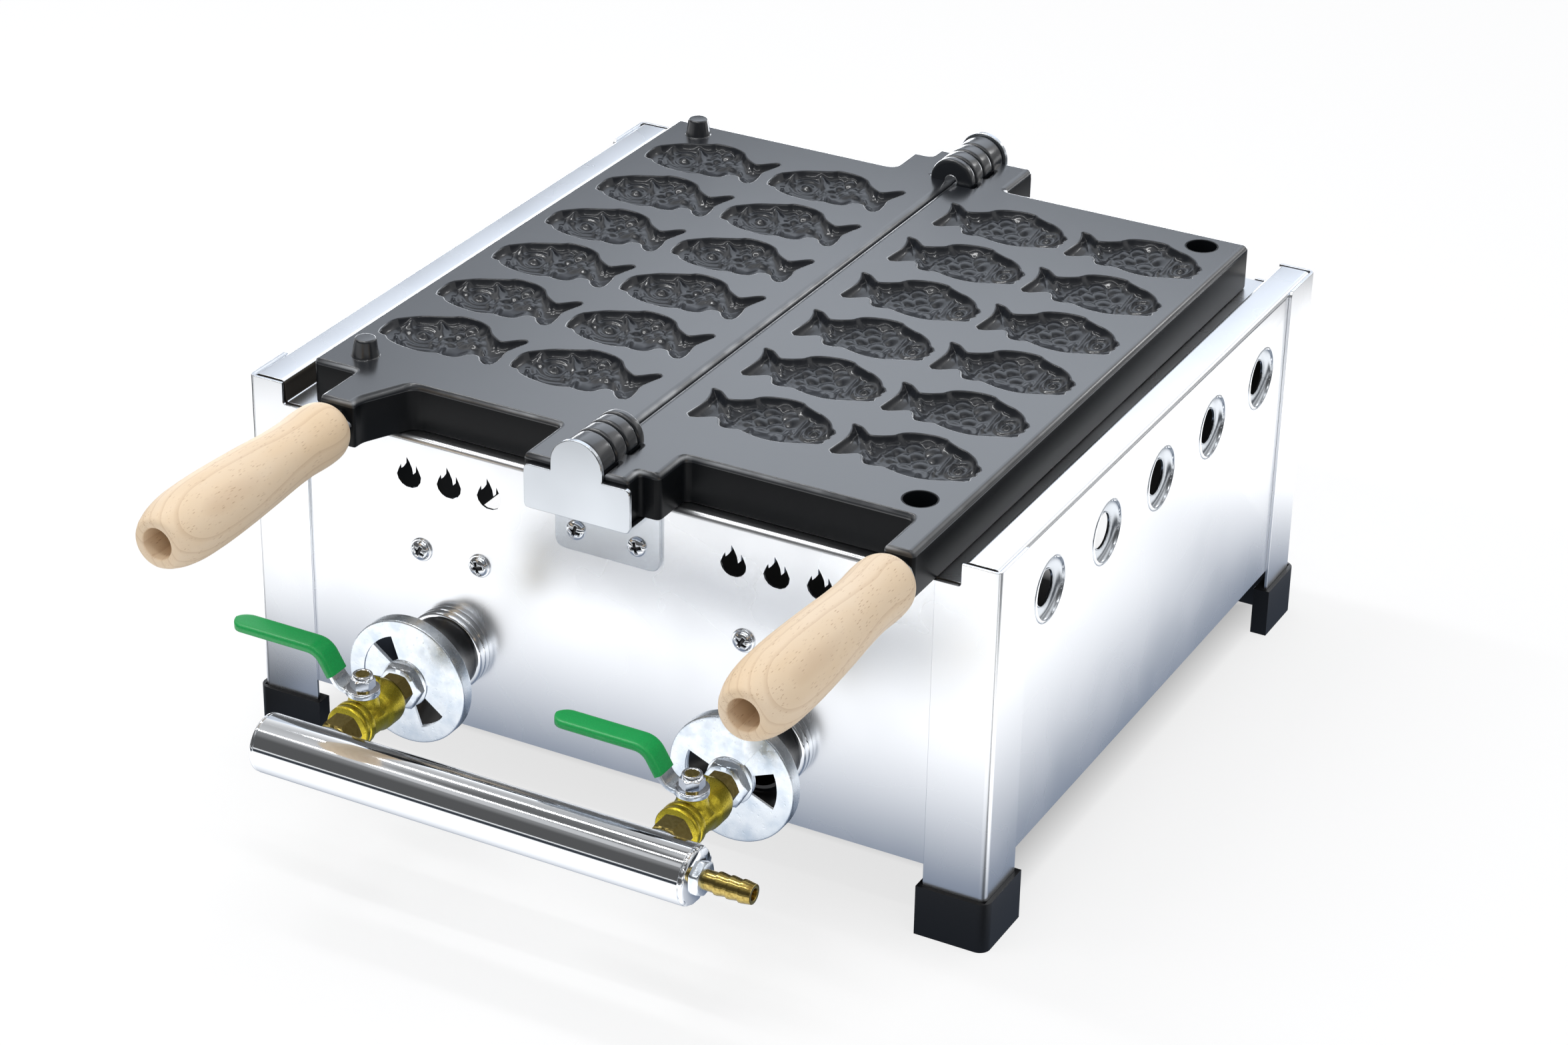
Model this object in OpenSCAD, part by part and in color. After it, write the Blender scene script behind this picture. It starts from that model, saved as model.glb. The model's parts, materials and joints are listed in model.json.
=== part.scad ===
/* [Body] */
// Height of the side rails above the floor
body_h = 248; // [225:1:300]
// Thickness of the folded sheet panels
sheet = 1.5; // [1:0.1:2]
// Inside radius of the folds
bend_r = 2; // [1:0.5:4]
// Height of the lower edge of the panels above the floor
panel_z = 46; // [38:1:60]
// Width of the flat top of a side rail
rail_w = 22; // [18:1:26]
// Depth of the ledge that carries a plate below the rail
ledge_drop = 14; // [8:1:20]
// Width of that ledge
ledge_w = 28; // [24:1:34]
// Width of the folded lip on top of the front and rear panels
lip_w = 12; // [8:1:16]

/* [Legs] */
// Width of each flange of a leg angle
leg_w = 40; // [32:1:50]
// Thickness of a leg angle
leg_t = 2; // [1.5:0.1:3]
// Outside radius of the fold of a leg and of its corners
leg_r = 4; // [3:0.5:6]
// Height of a rubber boot
boot_h = 33; // [24:1:36]
// Rubber outside the leg
boot_wall = 3; // [2:0.5:4]
// Whole thickness of a boot's arms
boot_t = 11; // [8:0.5:14]
// Rubber under the leg
boot_floor = 5; // [3:0.5:8]

/* [Vents] */
// Number of dished vents in a side panel
vent_n = 5; // [1:1:5]
// Distance between vents
vent_pitch = 79.4; // [60:0.2:86]
// Distance of the vents below the top of the rails
vent_drop = 44.5; // [36:0.5:120]
// Width of a dish
vent_d = 40; // [30:1:46]
// Width of its hole
vent_hole_d = 22; // [10:1:28]
// Depth of a dish
vent_depth = 4; // [2:0.5:8]

/* [Flame cut-outs] */
// Width of one flame
flame_w = 17; // [10:0.5:20]
// Height of one flame
flame_h = 20; // [12:0.5:24]
// Distance of the foot of the flames below the top of the rails
flame_drop = 48; // [44:1:60]
// Distance between flames
flame_pitch = 28; // [22:1:32]

/* [Plates] */
// Width of one plate
plate_w = 210; // [205:1:240]
// Depth of a plate without its lugs
plate_d = 441; // [436:1:480]
// Thickness of a plate
plate_t = 30; // [26:1:34]
// Front edge of the plates behind the front of the legs
plate_front = 11.5; // [9:0.5:14]
// Rear edge of the plates in front of the rear of the legs
plate_back = 17.5; // [9:0.5:20]
// Gap between a plate and its side rail, which the plate's edge clears as it turns
plate_side = 15.6; // [8:0.2:24]
// Radius of the plates' corners
plate_r = 4; // [2:0.5:6]
// Gap between the two plates along the hinge line
seam = 0.8; // [0.6:0.1:2]
// Gap between the two faces when one plate lies on the other
mate_gap = 0.5; // [0.3:0.1:1]
// Gap under a plate at rest
rest_gap = 0.3; // [0.2:0.1:0.6]

/* [Locating dowels] */
// Width of a dowel at its foot
dowel_d = 16.7; // [12:0.1:18]
// Width of a dowel at its tip
dowel_tip_d = 13; // [9:0.5:14]
// Height of a dowel
dowel_h = 11.6; // [8:0.1:14]
// Clearance of a dowel in its socket, around it and at its end
dowel_play = 1.4; // [0.5:0.1:3]
// Distance of the dowels from the outer edge of a plate
dowel_side = 25.4; // [20:0.2:32]
// Distance of the dowels from the front and rear edges of a plate
dowel_in = 18.5; // [15:0.5:20]

/* [Fish moulds] */
// Length of a fish
fish_l = 92; // [80:0.5:92]
// Height of a fish
fish_h = 56; // [46:0.5:58]
// Depth of the outer step of a cavity
fish_step = 5; // [3:0.5:7]
// Whole depth of a cavity
fish_depth = 11; // [8:0.5:14]
// Width of the eye boss
eye_d = 9; // [6:0.5:12]
// Height of the eye boss
eye_h = 2; // [1:0.5:3]
// Distance of the first column of fish from the hinge line
fish_in = 61.3; // [58:0.1:62]
// Distance between the columns
fish_col = 93.3; // [93:0.1:96]
// Distance of the first row from the front edge of a plate
fish_front = 66.5; // [60:0.5:70]
// Distance between the rows
fish_row = 64.2; // [60:0.1:65]

/* [Hinges] */
// Radius of a hinge knuckle
knuckle_r = 15.5; // [13:0.5:17]
// Lengths of the knuckles from the outer end inwards
knuckle_ls = [16.5, 13, 12, 7.5]; // [6:0.5:18]
// Gap between knuckles
knuckle_gap = 0.6; // [0.4:0.1:1]
// Width of a hinge pin
pin_d = 10; // [8:0.5:12]
// Clearance of a knuckle around its pin
pin_play = 0.08; // [0.05:0.01:0.1]
// Width of the long hinge lug of a plate
lug_w = 37; // [34:1:42]
// Width of the outer part of the short hinge lug
lug_short_w = 32; // [28:1:36]
// Width of its step at the plate
lug_step_w = 45; // [40:1:50]
// Length of that step
lug_step_l = 29.5; // [20:0.5:34]
// Height of a bracket's shoulders above its web
shoulder_h = 28; // [20:1:34]
// Thickness of a hinge bracket
bracket_t = 3; // [2:0.5:4]
// Width of a hinge bracket
bracket_w = 70; // [60:1:80]
// Radius of the dome of a hinge bracket
dome_r = 17; // [15.5:0.5:20]
// Depth of a bracket's tab below its web
tab_h = 44; // [36:1:52]
// Distance between the two screws of a bracket
tab_screws = 41; // [30:1:48]
// Distance of those screws from the lower edge of the tab
tab_screw_z = 14; // [10:1:20]

/* [Handles] */
// Distance of the left handle from the outer edge of its plate
left_handle_in = 43.4; // [42:0.2:60]
// Width of the left handle lug
left_lug_w = 24; // [22:1:30]
// Width of the right handle lug, flush with the edge of its plate
right_lug_w = 19; // [18:1:24]
// Length of a handle lug in front of its plate
handle_lug_l = 39.5; // [34:0.5:46]
// Width of the flare beside the left lug
flare_w = 16; // [8:1:20]
// Hexagon of a handle rod across its flats
hex_af = 14; // [12:1:16]
// Length of that hexagon
hex_l = 6; // [4:0.5:10]
// Width of a handle rod
rod_d = 8; // [6:0.5:10]
// Depth of a rod in its lug
rod_in = 20; // [12:1:26]
// Length of a grip
grip_l = 170; // [140:1:180]
// Greatest radius of a grip
grip_r = 22; // [19:0.5:22]
// Width of the bore in the end of a grip
grip_bore_d = 19; // [17:0.5:22]
// Depth of that bore
grip_bore_l = 45; // [30:1:60]

/* [Burners] */
// Distance of a burner from the hinge line
burner_x = 110; // [100:1:120]
// Height of the burners above the floor
burner_z = 100; // [90:1:110]
// Width of a burner tube
tube_d = 42; // [36:1:44]
// Wall of a burner tube
tube_wall = 2; // [1.5:0.5:3]
// Distance of the rear end of the tubes from the rear of the legs
tube_rear = 40; // [30:1:50]
// Width of a flame port
port_d = 3; // [2:0.5:4]
// Distance between flame ports
port_pitch = 14; // [12:1:20]
// Angle of a row of ports from straight up
port_angle = 22; // [15:1:35]
// Width of the ring on the panel, from the tube outwards
ring_w = 5; // [3:0.5:7]
// Length of that ring in front of the legs
ring_l = 8; // [6:0.5:12]
// Width of a mixer bell at its mouth
mouth_d = 76; // [70:0.5:80]
// Length of a mixer bell
bell_l = 39.4; // [34:0.2:46]
// Length of a tube inside its bell's neck
tube_in_neck = 12; // [6:0.5:16]
// Wall of a mixer bell
bell_wall = 2.4; // [1.5:0.1:3]
// Height of the panel screws above the burner axis
panel_screw_up = 60; // [50:1:64]
// Distance between the two panel screws of a burner
panel_screws = 41; // [36:1:46]

/* [Air shutters] */
// Clearance of a shutter's rim around the mouth of its bell
rim_gap = 0.8; // [0.4:0.1:1.5]
// Thickness of a shutter's sheet
shutter_t = 1.6; // [1.2:0.1:2]
// Depth of its rim
rim_l = 9; // [6:0.5:12]
// Running gap of a shutter, and of a lever above its valve
shutter_gap = 0.3; // [0.25:0.05:0.5]
// Outer radius of a window
window_r = 30; // [26:0.5:31]
// Angle of a window
window_angle = 78; // [60:1:80]
// Direction of the left bell's windows, from the right side upwards
left_window = 104; // [0:1:180]
// Direction of the right bell's windows
right_window = -17; // [-90:1:90]
// Turn of the left shutter from fully open
left_turn = 44; // [0:1:80]
// Turn of the right shutter from fully open
right_turn = 33; // [0:1:80]

/* [Gas valves] */
// Width of the threaded pipe through a shutter
spud_d = 14; // [12:0.5:16]
// Bore of the gas way
gas_d = 7; // [5:0.5:8]
// Width of the orifice in the nozzle
orifice_d = 1.4; // [0.8:0.1:3]
// Width of the nozzle
nozzle_d = 7; // [4:0.5:10]
// Locknut across its flats
locknut_af = 26; // [22:1:28]
// Thickness of a locknut
locknut_l = 8; // [5:0.5:10]
// Injector adapter across its flats
adapter_af = 19; // [17:1:22]
// Length of the adapter's hexagon
adapter_l = 12.4; // [8:0.2:16]
// Length of a valve body
valve_l = 42; // [38:1:48]
// Radius of a valve body at its bulge
valve_r = 14.5; // [13.5:0.5:16]
// Distance of the stem behind the front end of a valve body
stem_in = 18; // [16:1:20]
// Width of the stem boss
boss_d = 17; // [15:0.5:19]
// Height of the top of the boss above the burner axis
boss_h = 15; // [15:0.5:18]
// Width of the valve ball
ball_d = 17; // [15:0.5:18]
// Width of a valve stem
stem_d = 8; // [6:0.5:9]
// Running clearance of stem and ball
stem_play = 0.06; // [0.04:0.01:0.1]
// Inlet nipple across its flats
inlet_af = 20; // [18:1:22]
// Length of the nipple's hexagon
inlet_l = 14.5; // [10:0.5:18]

/* [Levers] */
// Length of a lever from its stem to its tip
lever_l = 87; // [70:1:110]
// Width of a lever
lever_w = 13; // [10:0.5:15]
// Thickness of a lever
lever_t = 3; // [2:0.5:4]
// Length of its flat root
lever_flat = 14; // [13:0.5:20]
// Length along the root that the ramp takes
lever_ramp = 13; // [10:0.5:20]
// Height of the ramp
lever_rise = 22; // [14:0.5:28]
// Thickness of the vinyl sleeve
sleeve_wall = 1.4; // [1:0.1:2]
// Nut across its flats
nut_af = 13; // [13:0.5:16]
// Height of the nut
nut_h = 9; // [6:0.5:11]
// Width of the washer under the nut
washer_d = 20; // [17:0.5:24]
// Thickness of a washer
washer_t = 1.2; // [0.8:0.1:2]

/* [Manifold] */
// Width of the manifold tube
manifold_d = 35.6; // [30:0.2:38]
// Wall of the manifold tube
manifold_wall = 2; // [1.5:0.5:3]
// Length of the manifold tube beyond each valve
manifold_over = 30; // [20:1:40]
// Gap between an inlet nipple's hexagon and the manifold
manifold_gap = 2.1; // [0.5:0.1:4]
// Length of an end cap outside the tube
cap_l = 2.5; // [2:0.5:4]
// Length of the hose barb's hexagon
barb_hex_l = 6; // [4:0.5:8]
// Length of the barbed stem
barb_l = 30; // [24:1:36]
// Width of the threaded end of the hose barb
barb_thread_d = 10; // [9:0.5:11]
// Width over the barbs
barb_d = 13.6; // [11:0.2:14]
// Depth of a barb
barb_step = 0.9; // [0.5:0.1:1.2]

/* [Screws] */
// Width of a pan head
head_d = 12.5; // [10:0.5:14]
// Height of a pan head
head_h = 3.6; // [3:0.2:5]
// Width of a screw's shank
shank_d = 6; // [4:0.5:7]
// Length of the shank behind the panel
shank_l = 12; // [10:0.5:16]
// Hexagon nut of a screw across its flats
screw_nut_af = 10; // [9:0.5:12]
// Thickness of that nut
screw_nut_h = 5; // [3:0.5:6]

/* [Hidden] */
$fn = 64;
// Overrun of every cut
cut = 1;
// Clearance of pieces that are fastened together
fit = 0.05;
// Colours as the photograph shows them
steel = "#d9dde2";
chrome = "#e6eaee";
coating = "#3c3f45";
rubber = "#17181a";
beech = "#e3c294";
brass = "#b59a3c";
old_brass = "#8b7440";
vinyl = "#13a350";
iron = "#2a2b2e";

// Places of the plates across and along the body
plate_x = seam / 2;
plate_edge = plate_x + plate_w;
plate_rear = plate_front + plate_d;
// Places of the body, which is built around the plates
rail_in = plate_edge + plate_side;
panel_x = rail_in + rail_w;
body_w = 2 * (panel_x + leg_t);
body_d = plate_rear + plate_back;
ledge_z = body_h - ledge_drop;
ledge_in = rail_in - ledge_w;
panel_y = leg_t;
// Panels stop at the round inside the legs' folds
corner_in = max(leg_r, leg_t + sheet);
rear_panel_y = body_d - leg_t;
vent_z = body_h - vent_drop;
flame_z = body_h - flame_drop;
// Heights of the plates
plate_z = ledge_z + rest_gap;
plate_top = plate_z + plate_t;
dowel_x = plate_edge - dowel_side;
socket_d = dowel_d + 2 * dowel_play;
socket_depth = dowel_h + dowel_play;
// Both plates turn about the same line, in the middle of the gap between the closed faces
hinge_z = plate_top + mate_gap / 2;
// Fish are drawn with the nose to +x, centred, in shares of their length and height
fish_shares = [
    [-0.49, 0.32], [-0.45, 0.34], [-0.39, 0.27], [-0.33, 0.18], [-0.26, 0.23], [-0.19, 0.30],
    [-0.17, 0.38], [-0.12, 0.44], [-0.04, 0.48], [0.08, 0.50], [0.14, 0.47], [0.18, 0.40],
    [0.26, 0.35], [0.33, 0.31], [0.40, 0.22], [0.44, 0.11], [0.48, 0.08], [0.495, 0.00],
    [0.48, -0.06], [0.50, -0.10], [0.475, -0.17], [0.49, -0.21], [0.475, -0.29], [0.42, -0.33],
    [0.35, -0.40], [0.28, -0.45], [0.21, -0.49], [0.13, -0.50], [0.06, -0.48], [-0.02, -0.44],
    [-0.05, -0.43], [-0.10, -0.465], [-0.16, -0.465], [-0.20, -0.43], [-0.23, -0.34], [-0.26, -0.30],
    [-0.30, -0.30], [-0.37, -0.39], [-0.42, -0.43], [-0.46, -0.38], [-0.47, -0.33], [-0.455, -0.17],
    [-0.45, -0.04], [-0.47, 0.14], [-0.49, 0.25]
];
// Size of the deep part of a cavity, and place of the eye, in shares of the fish
inset_share = 0.8;
eye_shares = [0.20, 0.02];
fish_cols = 2;
fish_rows = 6;
// A generic flame in shares of its width and height, foot at the middle of the lower edge
flame_shares = [
    [-0.12, 0.00], [0.14, 0.00], [0.34, 0.08], [0.47, 0.24], [0.50, 0.42], [0.40, 0.62],
    [0.30, 0.78], [0.29, 0.56], [0.18, 0.46], [0.14, 0.66], [0.04, 0.84], [-0.08, 1.00],
    [-0.09, 0.80], [-0.20, 0.66], [-0.30, 0.58], [-0.32, 0.72], [-0.42, 0.54], [-0.50, 0.36],
    [-0.44, 0.20], [-0.30, 0.07]
];
flames_a_side = 3;
// Radius of a grip along its length, both in shares
grip_shares = [
    [0, 0.70], [0.01, 0.79], [0.03, 0.86], [0.06, 0.89], [0.12, 0.87], [0.22, 0.83], [0.32, 0.85],
    [0.44, 0.91], [0.56, 0.96], [0.68, 0.995], [0.77, 1], [0.85, 0.98], [0.92, 0.90], [0.97, 0.78],
    [1, 0.62]
];
// Places of the handles, measured forwards from the front of the legs
left_handle_x = plate_edge - left_handle_in;
right_handle_x = plate_edge - right_lug_w / 2;
lug_end = handle_lug_l - plate_front;
grip_start = lug_end + hex_l;
grip_end = grip_start + grip_l;
rod_end = grip_end - grip_bore_l;
handle_z = plate_z + plate_t / 2;
// Widths around the burner tubes
ring_d = tube_d + 2 * ring_w;
neck_d = tube_d + 2 * (bell_wall + fit);
shutter_d = mouth_d + 2 * (rim_gap + shutter_t);
// Places along the gas line, measured forwards from the front of the legs
bell_front = ring_l + bell_l;
shutter_front = bell_front + shutter_gap + shutter_t;
locknut_start = shutter_front + shutter_gap;
adapter_start = locknut_start + locknut_l;
valve_start = adapter_start + adapter_l;
valve_end = valve_start + valve_l;
stem_at = valve_end - stem_in;
inlet_end = valve_end + inlet_l;
manifold_at = inlet_end + manifold_gap + manifold_d / 2;
manifold_l = 2 * (burner_x + manifold_over);
boss_top = burner_z + boss_h;
lever_z = boss_top + shutter_gap;
washer_z = lever_z + lever_t;
nut_z = washer_z + washer_t;
stem_top = nut_z + nut_h - fit - stem_play;
tube_end = body_d - tube_rear;
tube_front = ring_l + tube_in_neck;
stub_d = tube_d / 3;
stub_l = tube_rear / 3;
// Part of the lever nut's height that is a hexagon
nut_hex_share = 0.7;
web_z = plate_z - rest_gap - bracket_t;
tab_z = web_z + bracket_t - tab_h;
// Part of the innermost knuckle that stands outside the plate
knuckle_out_share = 0.2;
knuckle_last = len(knuckle_ls) - 1;
hinge_out = sum_to(knuckle_ls, knuckle_last - 1) + knuckle_ls[knuckle_last] * knuckle_out_share;
// A pin runs from its seat in the bracket's dome to the inner end of the innermost knuckle
pin_seat_share = 0.66;
dome_at = hinge_out - plate_front + knuckle_gap / 2;
pin_start = -dome_at - bracket_t * pin_seat_share;
pin_in = plate_front - hinge_out + sum_to(knuckle_ls, knuckle_last);
// The origin lies under the middle of the whole model
y_min = -grip_end;
y_max = plate_rear + hinge_out + knuckle_gap / 2 + bracket_t;
origin_y = (y_min + y_max) / 2;
// Flats that stand for the round of a vent's lip
dish_steps = 6;

// Sum of the first values of a list, up to index n
function sum_to(list, n) = n < 0 ? 0 : list[n] + sum_to(list, n - 1);
// Points of an outline given in shares of a width and a height
function scaled(shares, w, h) = [for (p = shares) [p[0] * w, p[1] * h]];
// Corner radius of a hexagon with the given distance across its flats
function hex_r(af) = af / 2 / cos(30);

// Everything is drawn with y = 0 on the front of the legs, then moved to the model's origin
module placed() translate([0, -origin_y, 0]) children();
// Left side for s = -1, right side for s = 1
module sided(s) { if (s < 0) mirror([1, 0, 0]) children(); else children(); }
// The rear of the body is its front, mirrored
module at_rear(rear) { if (rear) translate([0, body_d, 0]) mirror([0, 1, 0]) children(); else children(); }
// Lies along y, from the distance a in front of the legs to the distance b
module ahead(a, b) translate([0, -a, 0]) rotate([90, 0, 0]) linear_extrude(b - a) children();
// A rod along y between two places
module rod_y(d, y0, y1) translate([0, y0, 0]) rotate([-90, 0, 0]) cylinder(d = d, h = y1 - y0);
// A turned piece about a line along y, its outline given as [distance in front of the legs, radius]
module turned_y(points) rotate([90, 0, 0]) rotate_extrude() polygon([for (p = points) [p[1], p[0]]]);
module hexagon(af) circle(r = hex_r(af), $fn = 6);
module square_c(w, h) translate([-w / 2, 0]) square([w, h]);

// A quarter of a fold, about its inside centre, towards +x and +y
module fold() intersection() {
    difference() { circle(bend_r + sheet); circle(bend_r); }
    square(bend_r + sheet);
}

// Section of a right side panel: wall, fold, rail, fold, step, fold, ledge
module side_section() {
    out = bend_r + sheet;
    translate([panel_x - sheet, panel_z]) square([sheet, body_h - out - panel_z]);
    translate([panel_x - out, body_h - out]) fold();
    translate([rail_in + out, body_h - sheet]) square([rail_w - 2 * out, sheet]);
    translate([rail_in + out, body_h - out]) mirror([1, 0]) fold();
    translate([rail_in, ledge_z + bend_r]) square([sheet, ledge_drop - out - bend_r]);
    translate([rail_in - bend_r, ledge_z + bend_r]) mirror([0, 1]) fold();
    translate([ledge_in, ledge_z - sheet]) square([ledge_w - bend_r, sheet]);
}

// Outline of a vent's dish: a flared lip from the wall down to the hole
function lip(r, depth) = [for (i = [0:dish_steps])
    let (a = 90 * i / dish_steps)
    [vent_hole_d / 2 + (vent_d - vent_hole_d) / 2 * (1 - sin(a)), -depth * (1 - cos(a)) - r]];
function reversed(list) = [for (i = [len(list) - 1:-1:0]) list[i]];

module vent_dish() rotate([0, 90, 0]) rotate_extrude()
    polygon(concat(lip(0, vent_depth), reversed(lip(sheet, vent_depth))));

module side_panel(s) placed() color(steel) sided(s) {
    first_vent = body_d / 2 - vent_pitch * (vent_n - 1) / 2;
    difference() {
        translate([0, body_d - corner_in, 0]) rotate([90, 0, 0])
            linear_extrude(body_d - 2 * corner_in) side_section();
        for (i = [0:vent_n - 1])
            translate([panel_x - sheet - cut, first_vent + i * vent_pitch, vent_z])
                rotate([0, 90, 0]) cylinder(d = vent_d, h = sheet + 2 * cut);
    }
    for (i = [0:vent_n - 1])
        translate([panel_x, first_vent + i * vent_pitch, vent_z]) vent_dish();
}

// Front and rear panels share one folded sheet. Its lip stops short of the side ledges
module panel_sheet() {
    half = ledge_in - fit;
    wall_half = body_w / 2 - corner_in;
    fold_z = ledge_z - sheet - bend_r;
    difference() {
        translate([-wall_half, panel_y, panel_z])
            cube([2 * wall_half, sheet, ledge_z - sheet - panel_z]);
        translate([-half, panel_y - cut, fold_z]) cube([2 * half, sheet + 2 * cut, ledge_z]);
    }
    translate([-half, panel_y + sheet + bend_r, fold_z]) rotate([90, 0, 90]) linear_extrude(2 * half) {
        mirror([1, 0]) fold();
        translate([0, bend_r]) square([lip_w - sheet - bend_r, sheet]);
    }
}

module bracket_holes() for (x = [-tab_screws / 2, tab_screws / 2])
    translate([x, 0, tab_z + tab_screw_z])
        rod_y(shank_d + 2 * fit, -cut - bracket_t, panel_y + sheet + cut);

module front_panel() placed() color(steel) difference() {
    panel_sheet();
    bracket_holes();
    for (s = [-1, 1]) {
        for (i = [0:flames_a_side - 1])
            translate([s * burner_x + (i - (flames_a_side - 1) / 2) * flame_pitch,
                       panel_y + sheet + cut, flame_z])
                rotate([90, 0, 0]) linear_extrude(sheet + 2 * cut)
                    polygon(scaled(flame_shares, flame_w, flame_h));
        translate([s * burner_x, 0, burner_z]) rod_y(tube_d + 2 * fit, 0, panel_y + sheet + cut);
        for (x = [-panel_screws / 2, panel_screws / 2])
            translate([s * burner_x + x, 0, burner_z + panel_screw_up])
                rod_y(shank_d + 2 * fit, 0, panel_y + sheet + cut);
    }
}

module rear_panel() placed() color(steel) at_rear(true) difference() {
    panel_sheet();
    bracket_holes();
}

// A leg is one folded angle, notched where the rail steps down to the ledge
module leg(s, rear) placed() color(steel) at_rear(rear) sided(s) {
    notch = leg_w - (body_w / 2 - rail_in);
    translate([body_w / 2, 0, boot_floor]) mirror([1, 0, 0]) difference() {
        linear_extrude(body_h - boot_floor) difference() {
            rounded_corner(leg_w, leg_r);
            translate([leg_t, leg_t]) rounded_corner(leg_w, leg_r - leg_t);
        }
        translate([leg_w - notch, leg_t + cut, ledge_z - boot_floor]) rotate([90, 0, 0])
            linear_extrude(leg_t + 2 * cut) rounded_corner(leg_w, bend_r);
        translate([-cut, leg_w, body_h - boot_floor]) rotate([0, 90, 0])
            linear_extrude(leg_t + 2 * cut) corner_cut(leg_r);
    }
}

// A square whose corner at the origin is round
module rounded_corner(w, r) {
    translate([r, 0]) square([w - r, w]);
    translate([0, r]) square([w, w - r]);
    translate([r, r]) circle(r);
}

// What rounding takes off a corner at the origin that points to -x and +y
module corner_cut(r) difference() {
    translate([-cut, -r]) square([r + cut, r + cut]);
    translate([r, -r]) circle(r);
}

module boot(s, rear) placed() color(rubber) at_rear(rear) sided(s)
    translate([body_w / 2 + boot_wall, -boot_wall, 0]) mirror([1, 0, 0]) difference() {
        linear_extrude(boot_h) difference() {
            rounded_corner(leg_w + 2 * boot_wall, leg_r + boot_wall);
            translate([boot_t, boot_t]) square(leg_w + 2 * boot_wall);
        }
        translate([boot_wall - fit, boot_wall - fit, boot_floor]) linear_extrude(boot_h) difference() {
            square([leg_w + 2 * fit, leg_w + 2 * fit]);
            translate([leg_t + 2 * fit, leg_t + 2 * fit]) rounded_corner(leg_w, leg_r - leg_t);
        }
    }

// Plates. The left plate lies at -x. Both have the long hinge lug on one end and the short one on the other
module plate_outline(s) {
    rounded_plate();
    hinge_lug(s < 0);
    at_far_end() hinge_lug(s > 0);
}

// The rear end of a plate is its front end, mirrored
module at_far_end() translate([0, plate_front + plate_rear]) mirror([0, 1]) children();

module rounded_plate() {
    translate([plate_x, plate_front]) square([plate_r, plate_d]);
    translate([plate_x, plate_front + plate_r]) square([plate_w, plate_d - 2 * plate_r]);
    translate([plate_x, plate_front]) square([plate_w - plate_r, plate_d]);
    for (y = [plate_front + plate_r, plate_rear - plate_r])
        translate([plate_edge - plate_r, y]) circle(plate_r);
}

module hinge_lug(long) {
    if (long) translate([plate_x, plate_front - hinge_out]) square([lug_w - plate_x, hinge_out + plate_r]);
    else {
        translate([plate_x, plate_front - hinge_out])
            square([lug_short_w - plate_x, hinge_out + plate_r]);
        translate([plate_x, plate_front - lug_step_l])
            square([lug_step_w - plate_x, lug_step_l + plate_r]);
    }
}

// Handle lugs: the left one stands in from the edge, the right one is flush with it
function handle_x(s) = s < 0 ? left_handle_x : right_handle_x;
module handle_lug(s) {
    x = handle_x(s);
    w = s < 0 ? left_lug_w : right_lug_w;
    translate([x - w / 2, -lug_end]) square([w, handle_lug_l + plate_r]);
    if (s < 0) polygon([
        [x - w / 2, -lug_end + hex_l], [x - w / 2 - flare_w, plate_front],
        [x - w / 2 - flare_w, plate_front + plate_r], [x - w / 2, plate_front + plate_r]
    ]);
}

// Range of knuckle i along y, for the front end
function knuckle_y(i) = [
    plate_front - hinge_out + sum_to(knuckle_ls, i - 1) + (i == 0 ? 0 : knuckle_gap / 2),
    plate_front - hinge_out + sum_to(knuckle_ls, i) - knuckle_gap / 2
];

// Knuckles of one end: every second one, from the outermost or from the next
module knuckles(first, r, grow) translate([0, 0, hinge_z])
    for (i = [first:2:len(knuckle_ls) - 1])
        rod_y(2 * r, knuckle_y(i)[0] - grow, knuckle_y(i)[1] + grow);

// One cavity with its eye boss, cut down from the plate's face
module fish_cavity() difference() {
    union() {
        translate([0, 0, -fish_step]) linear_extrude(fish_step + cut)
            polygon(scaled(fish_shares, fish_l, fish_h));
        translate([0, 0, -fish_depth]) linear_extrude(fish_depth)
            polygon(scaled(fish_shares, fish_l * inset_share, fish_h * inset_share));
    }
    translate([fish_l * eye_shares[0], fish_h * eye_shares[1], -fish_depth])
        cylinder(d = eye_d, h = eye_h);
}

module fish_field() for (c = [0:fish_cols - 1], r = [0:fish_rows - 1])
    translate([fish_in + c * fish_col, plate_front + fish_front + r * fish_row, plate_top])
        fish_cavity();

module dowel_places() for (y = [plate_front + dowel_in, plate_rear - dowel_in])
    translate([dowel_x, y, plate_top]) children();

module plate(s) placed() color(coating) sided(s) {
    // The left plate holds the outermost knuckle in front, the right one behind
    front_first = s < 0 ? 0 : 1;
    rear_first = 1 - front_first;
    difference() {
        union() {
            difference() {
                translate([0, 0, plate_z]) linear_extrude(plate_t) {
                    plate_outline(s);
                    handle_lug(s);
                }
                knuckles(rear_first, knuckle_r + knuckle_gap, knuckle_gap);
                at_far_end() knuckles(front_first, knuckle_r + knuckle_gap, knuckle_gap);
                fish_field();
                if (s > 0) dowel_places() translate([0, 0, -socket_depth])
                    cylinder(d = socket_d, h = socket_depth + cut);
            }
            knuckles(front_first, knuckle_r, 0);
            at_far_end() knuckles(rear_first, knuckle_r, 0);
            if (s < 0) dowel_places() cylinder(d1 = dowel_d, d2 = dowel_tip_d, h = dowel_h);
        }
        pin_bore();
        at_far_end() pin_bore();
        translate([handle_x(s), 0, handle_z]) rod_y(rod_d + 2 * fit, -lug_end - cut, -lug_end + rod_in);
    }
}

// Bore of all knuckles of one end
module pin_bore() translate([0, 0, hinge_z])
    rod_y(pin_d + 2 * pin_play, plate_front - hinge_out - cut, pin_in + cut);

// Hinge bracket: domed plate, web below the lugs and tab on the panel
module dome_outline() {
    square_c(bracket_w, shoulder_h);
    translate([0, hinge_z - web_z]) circle(dome_r);
}

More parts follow.
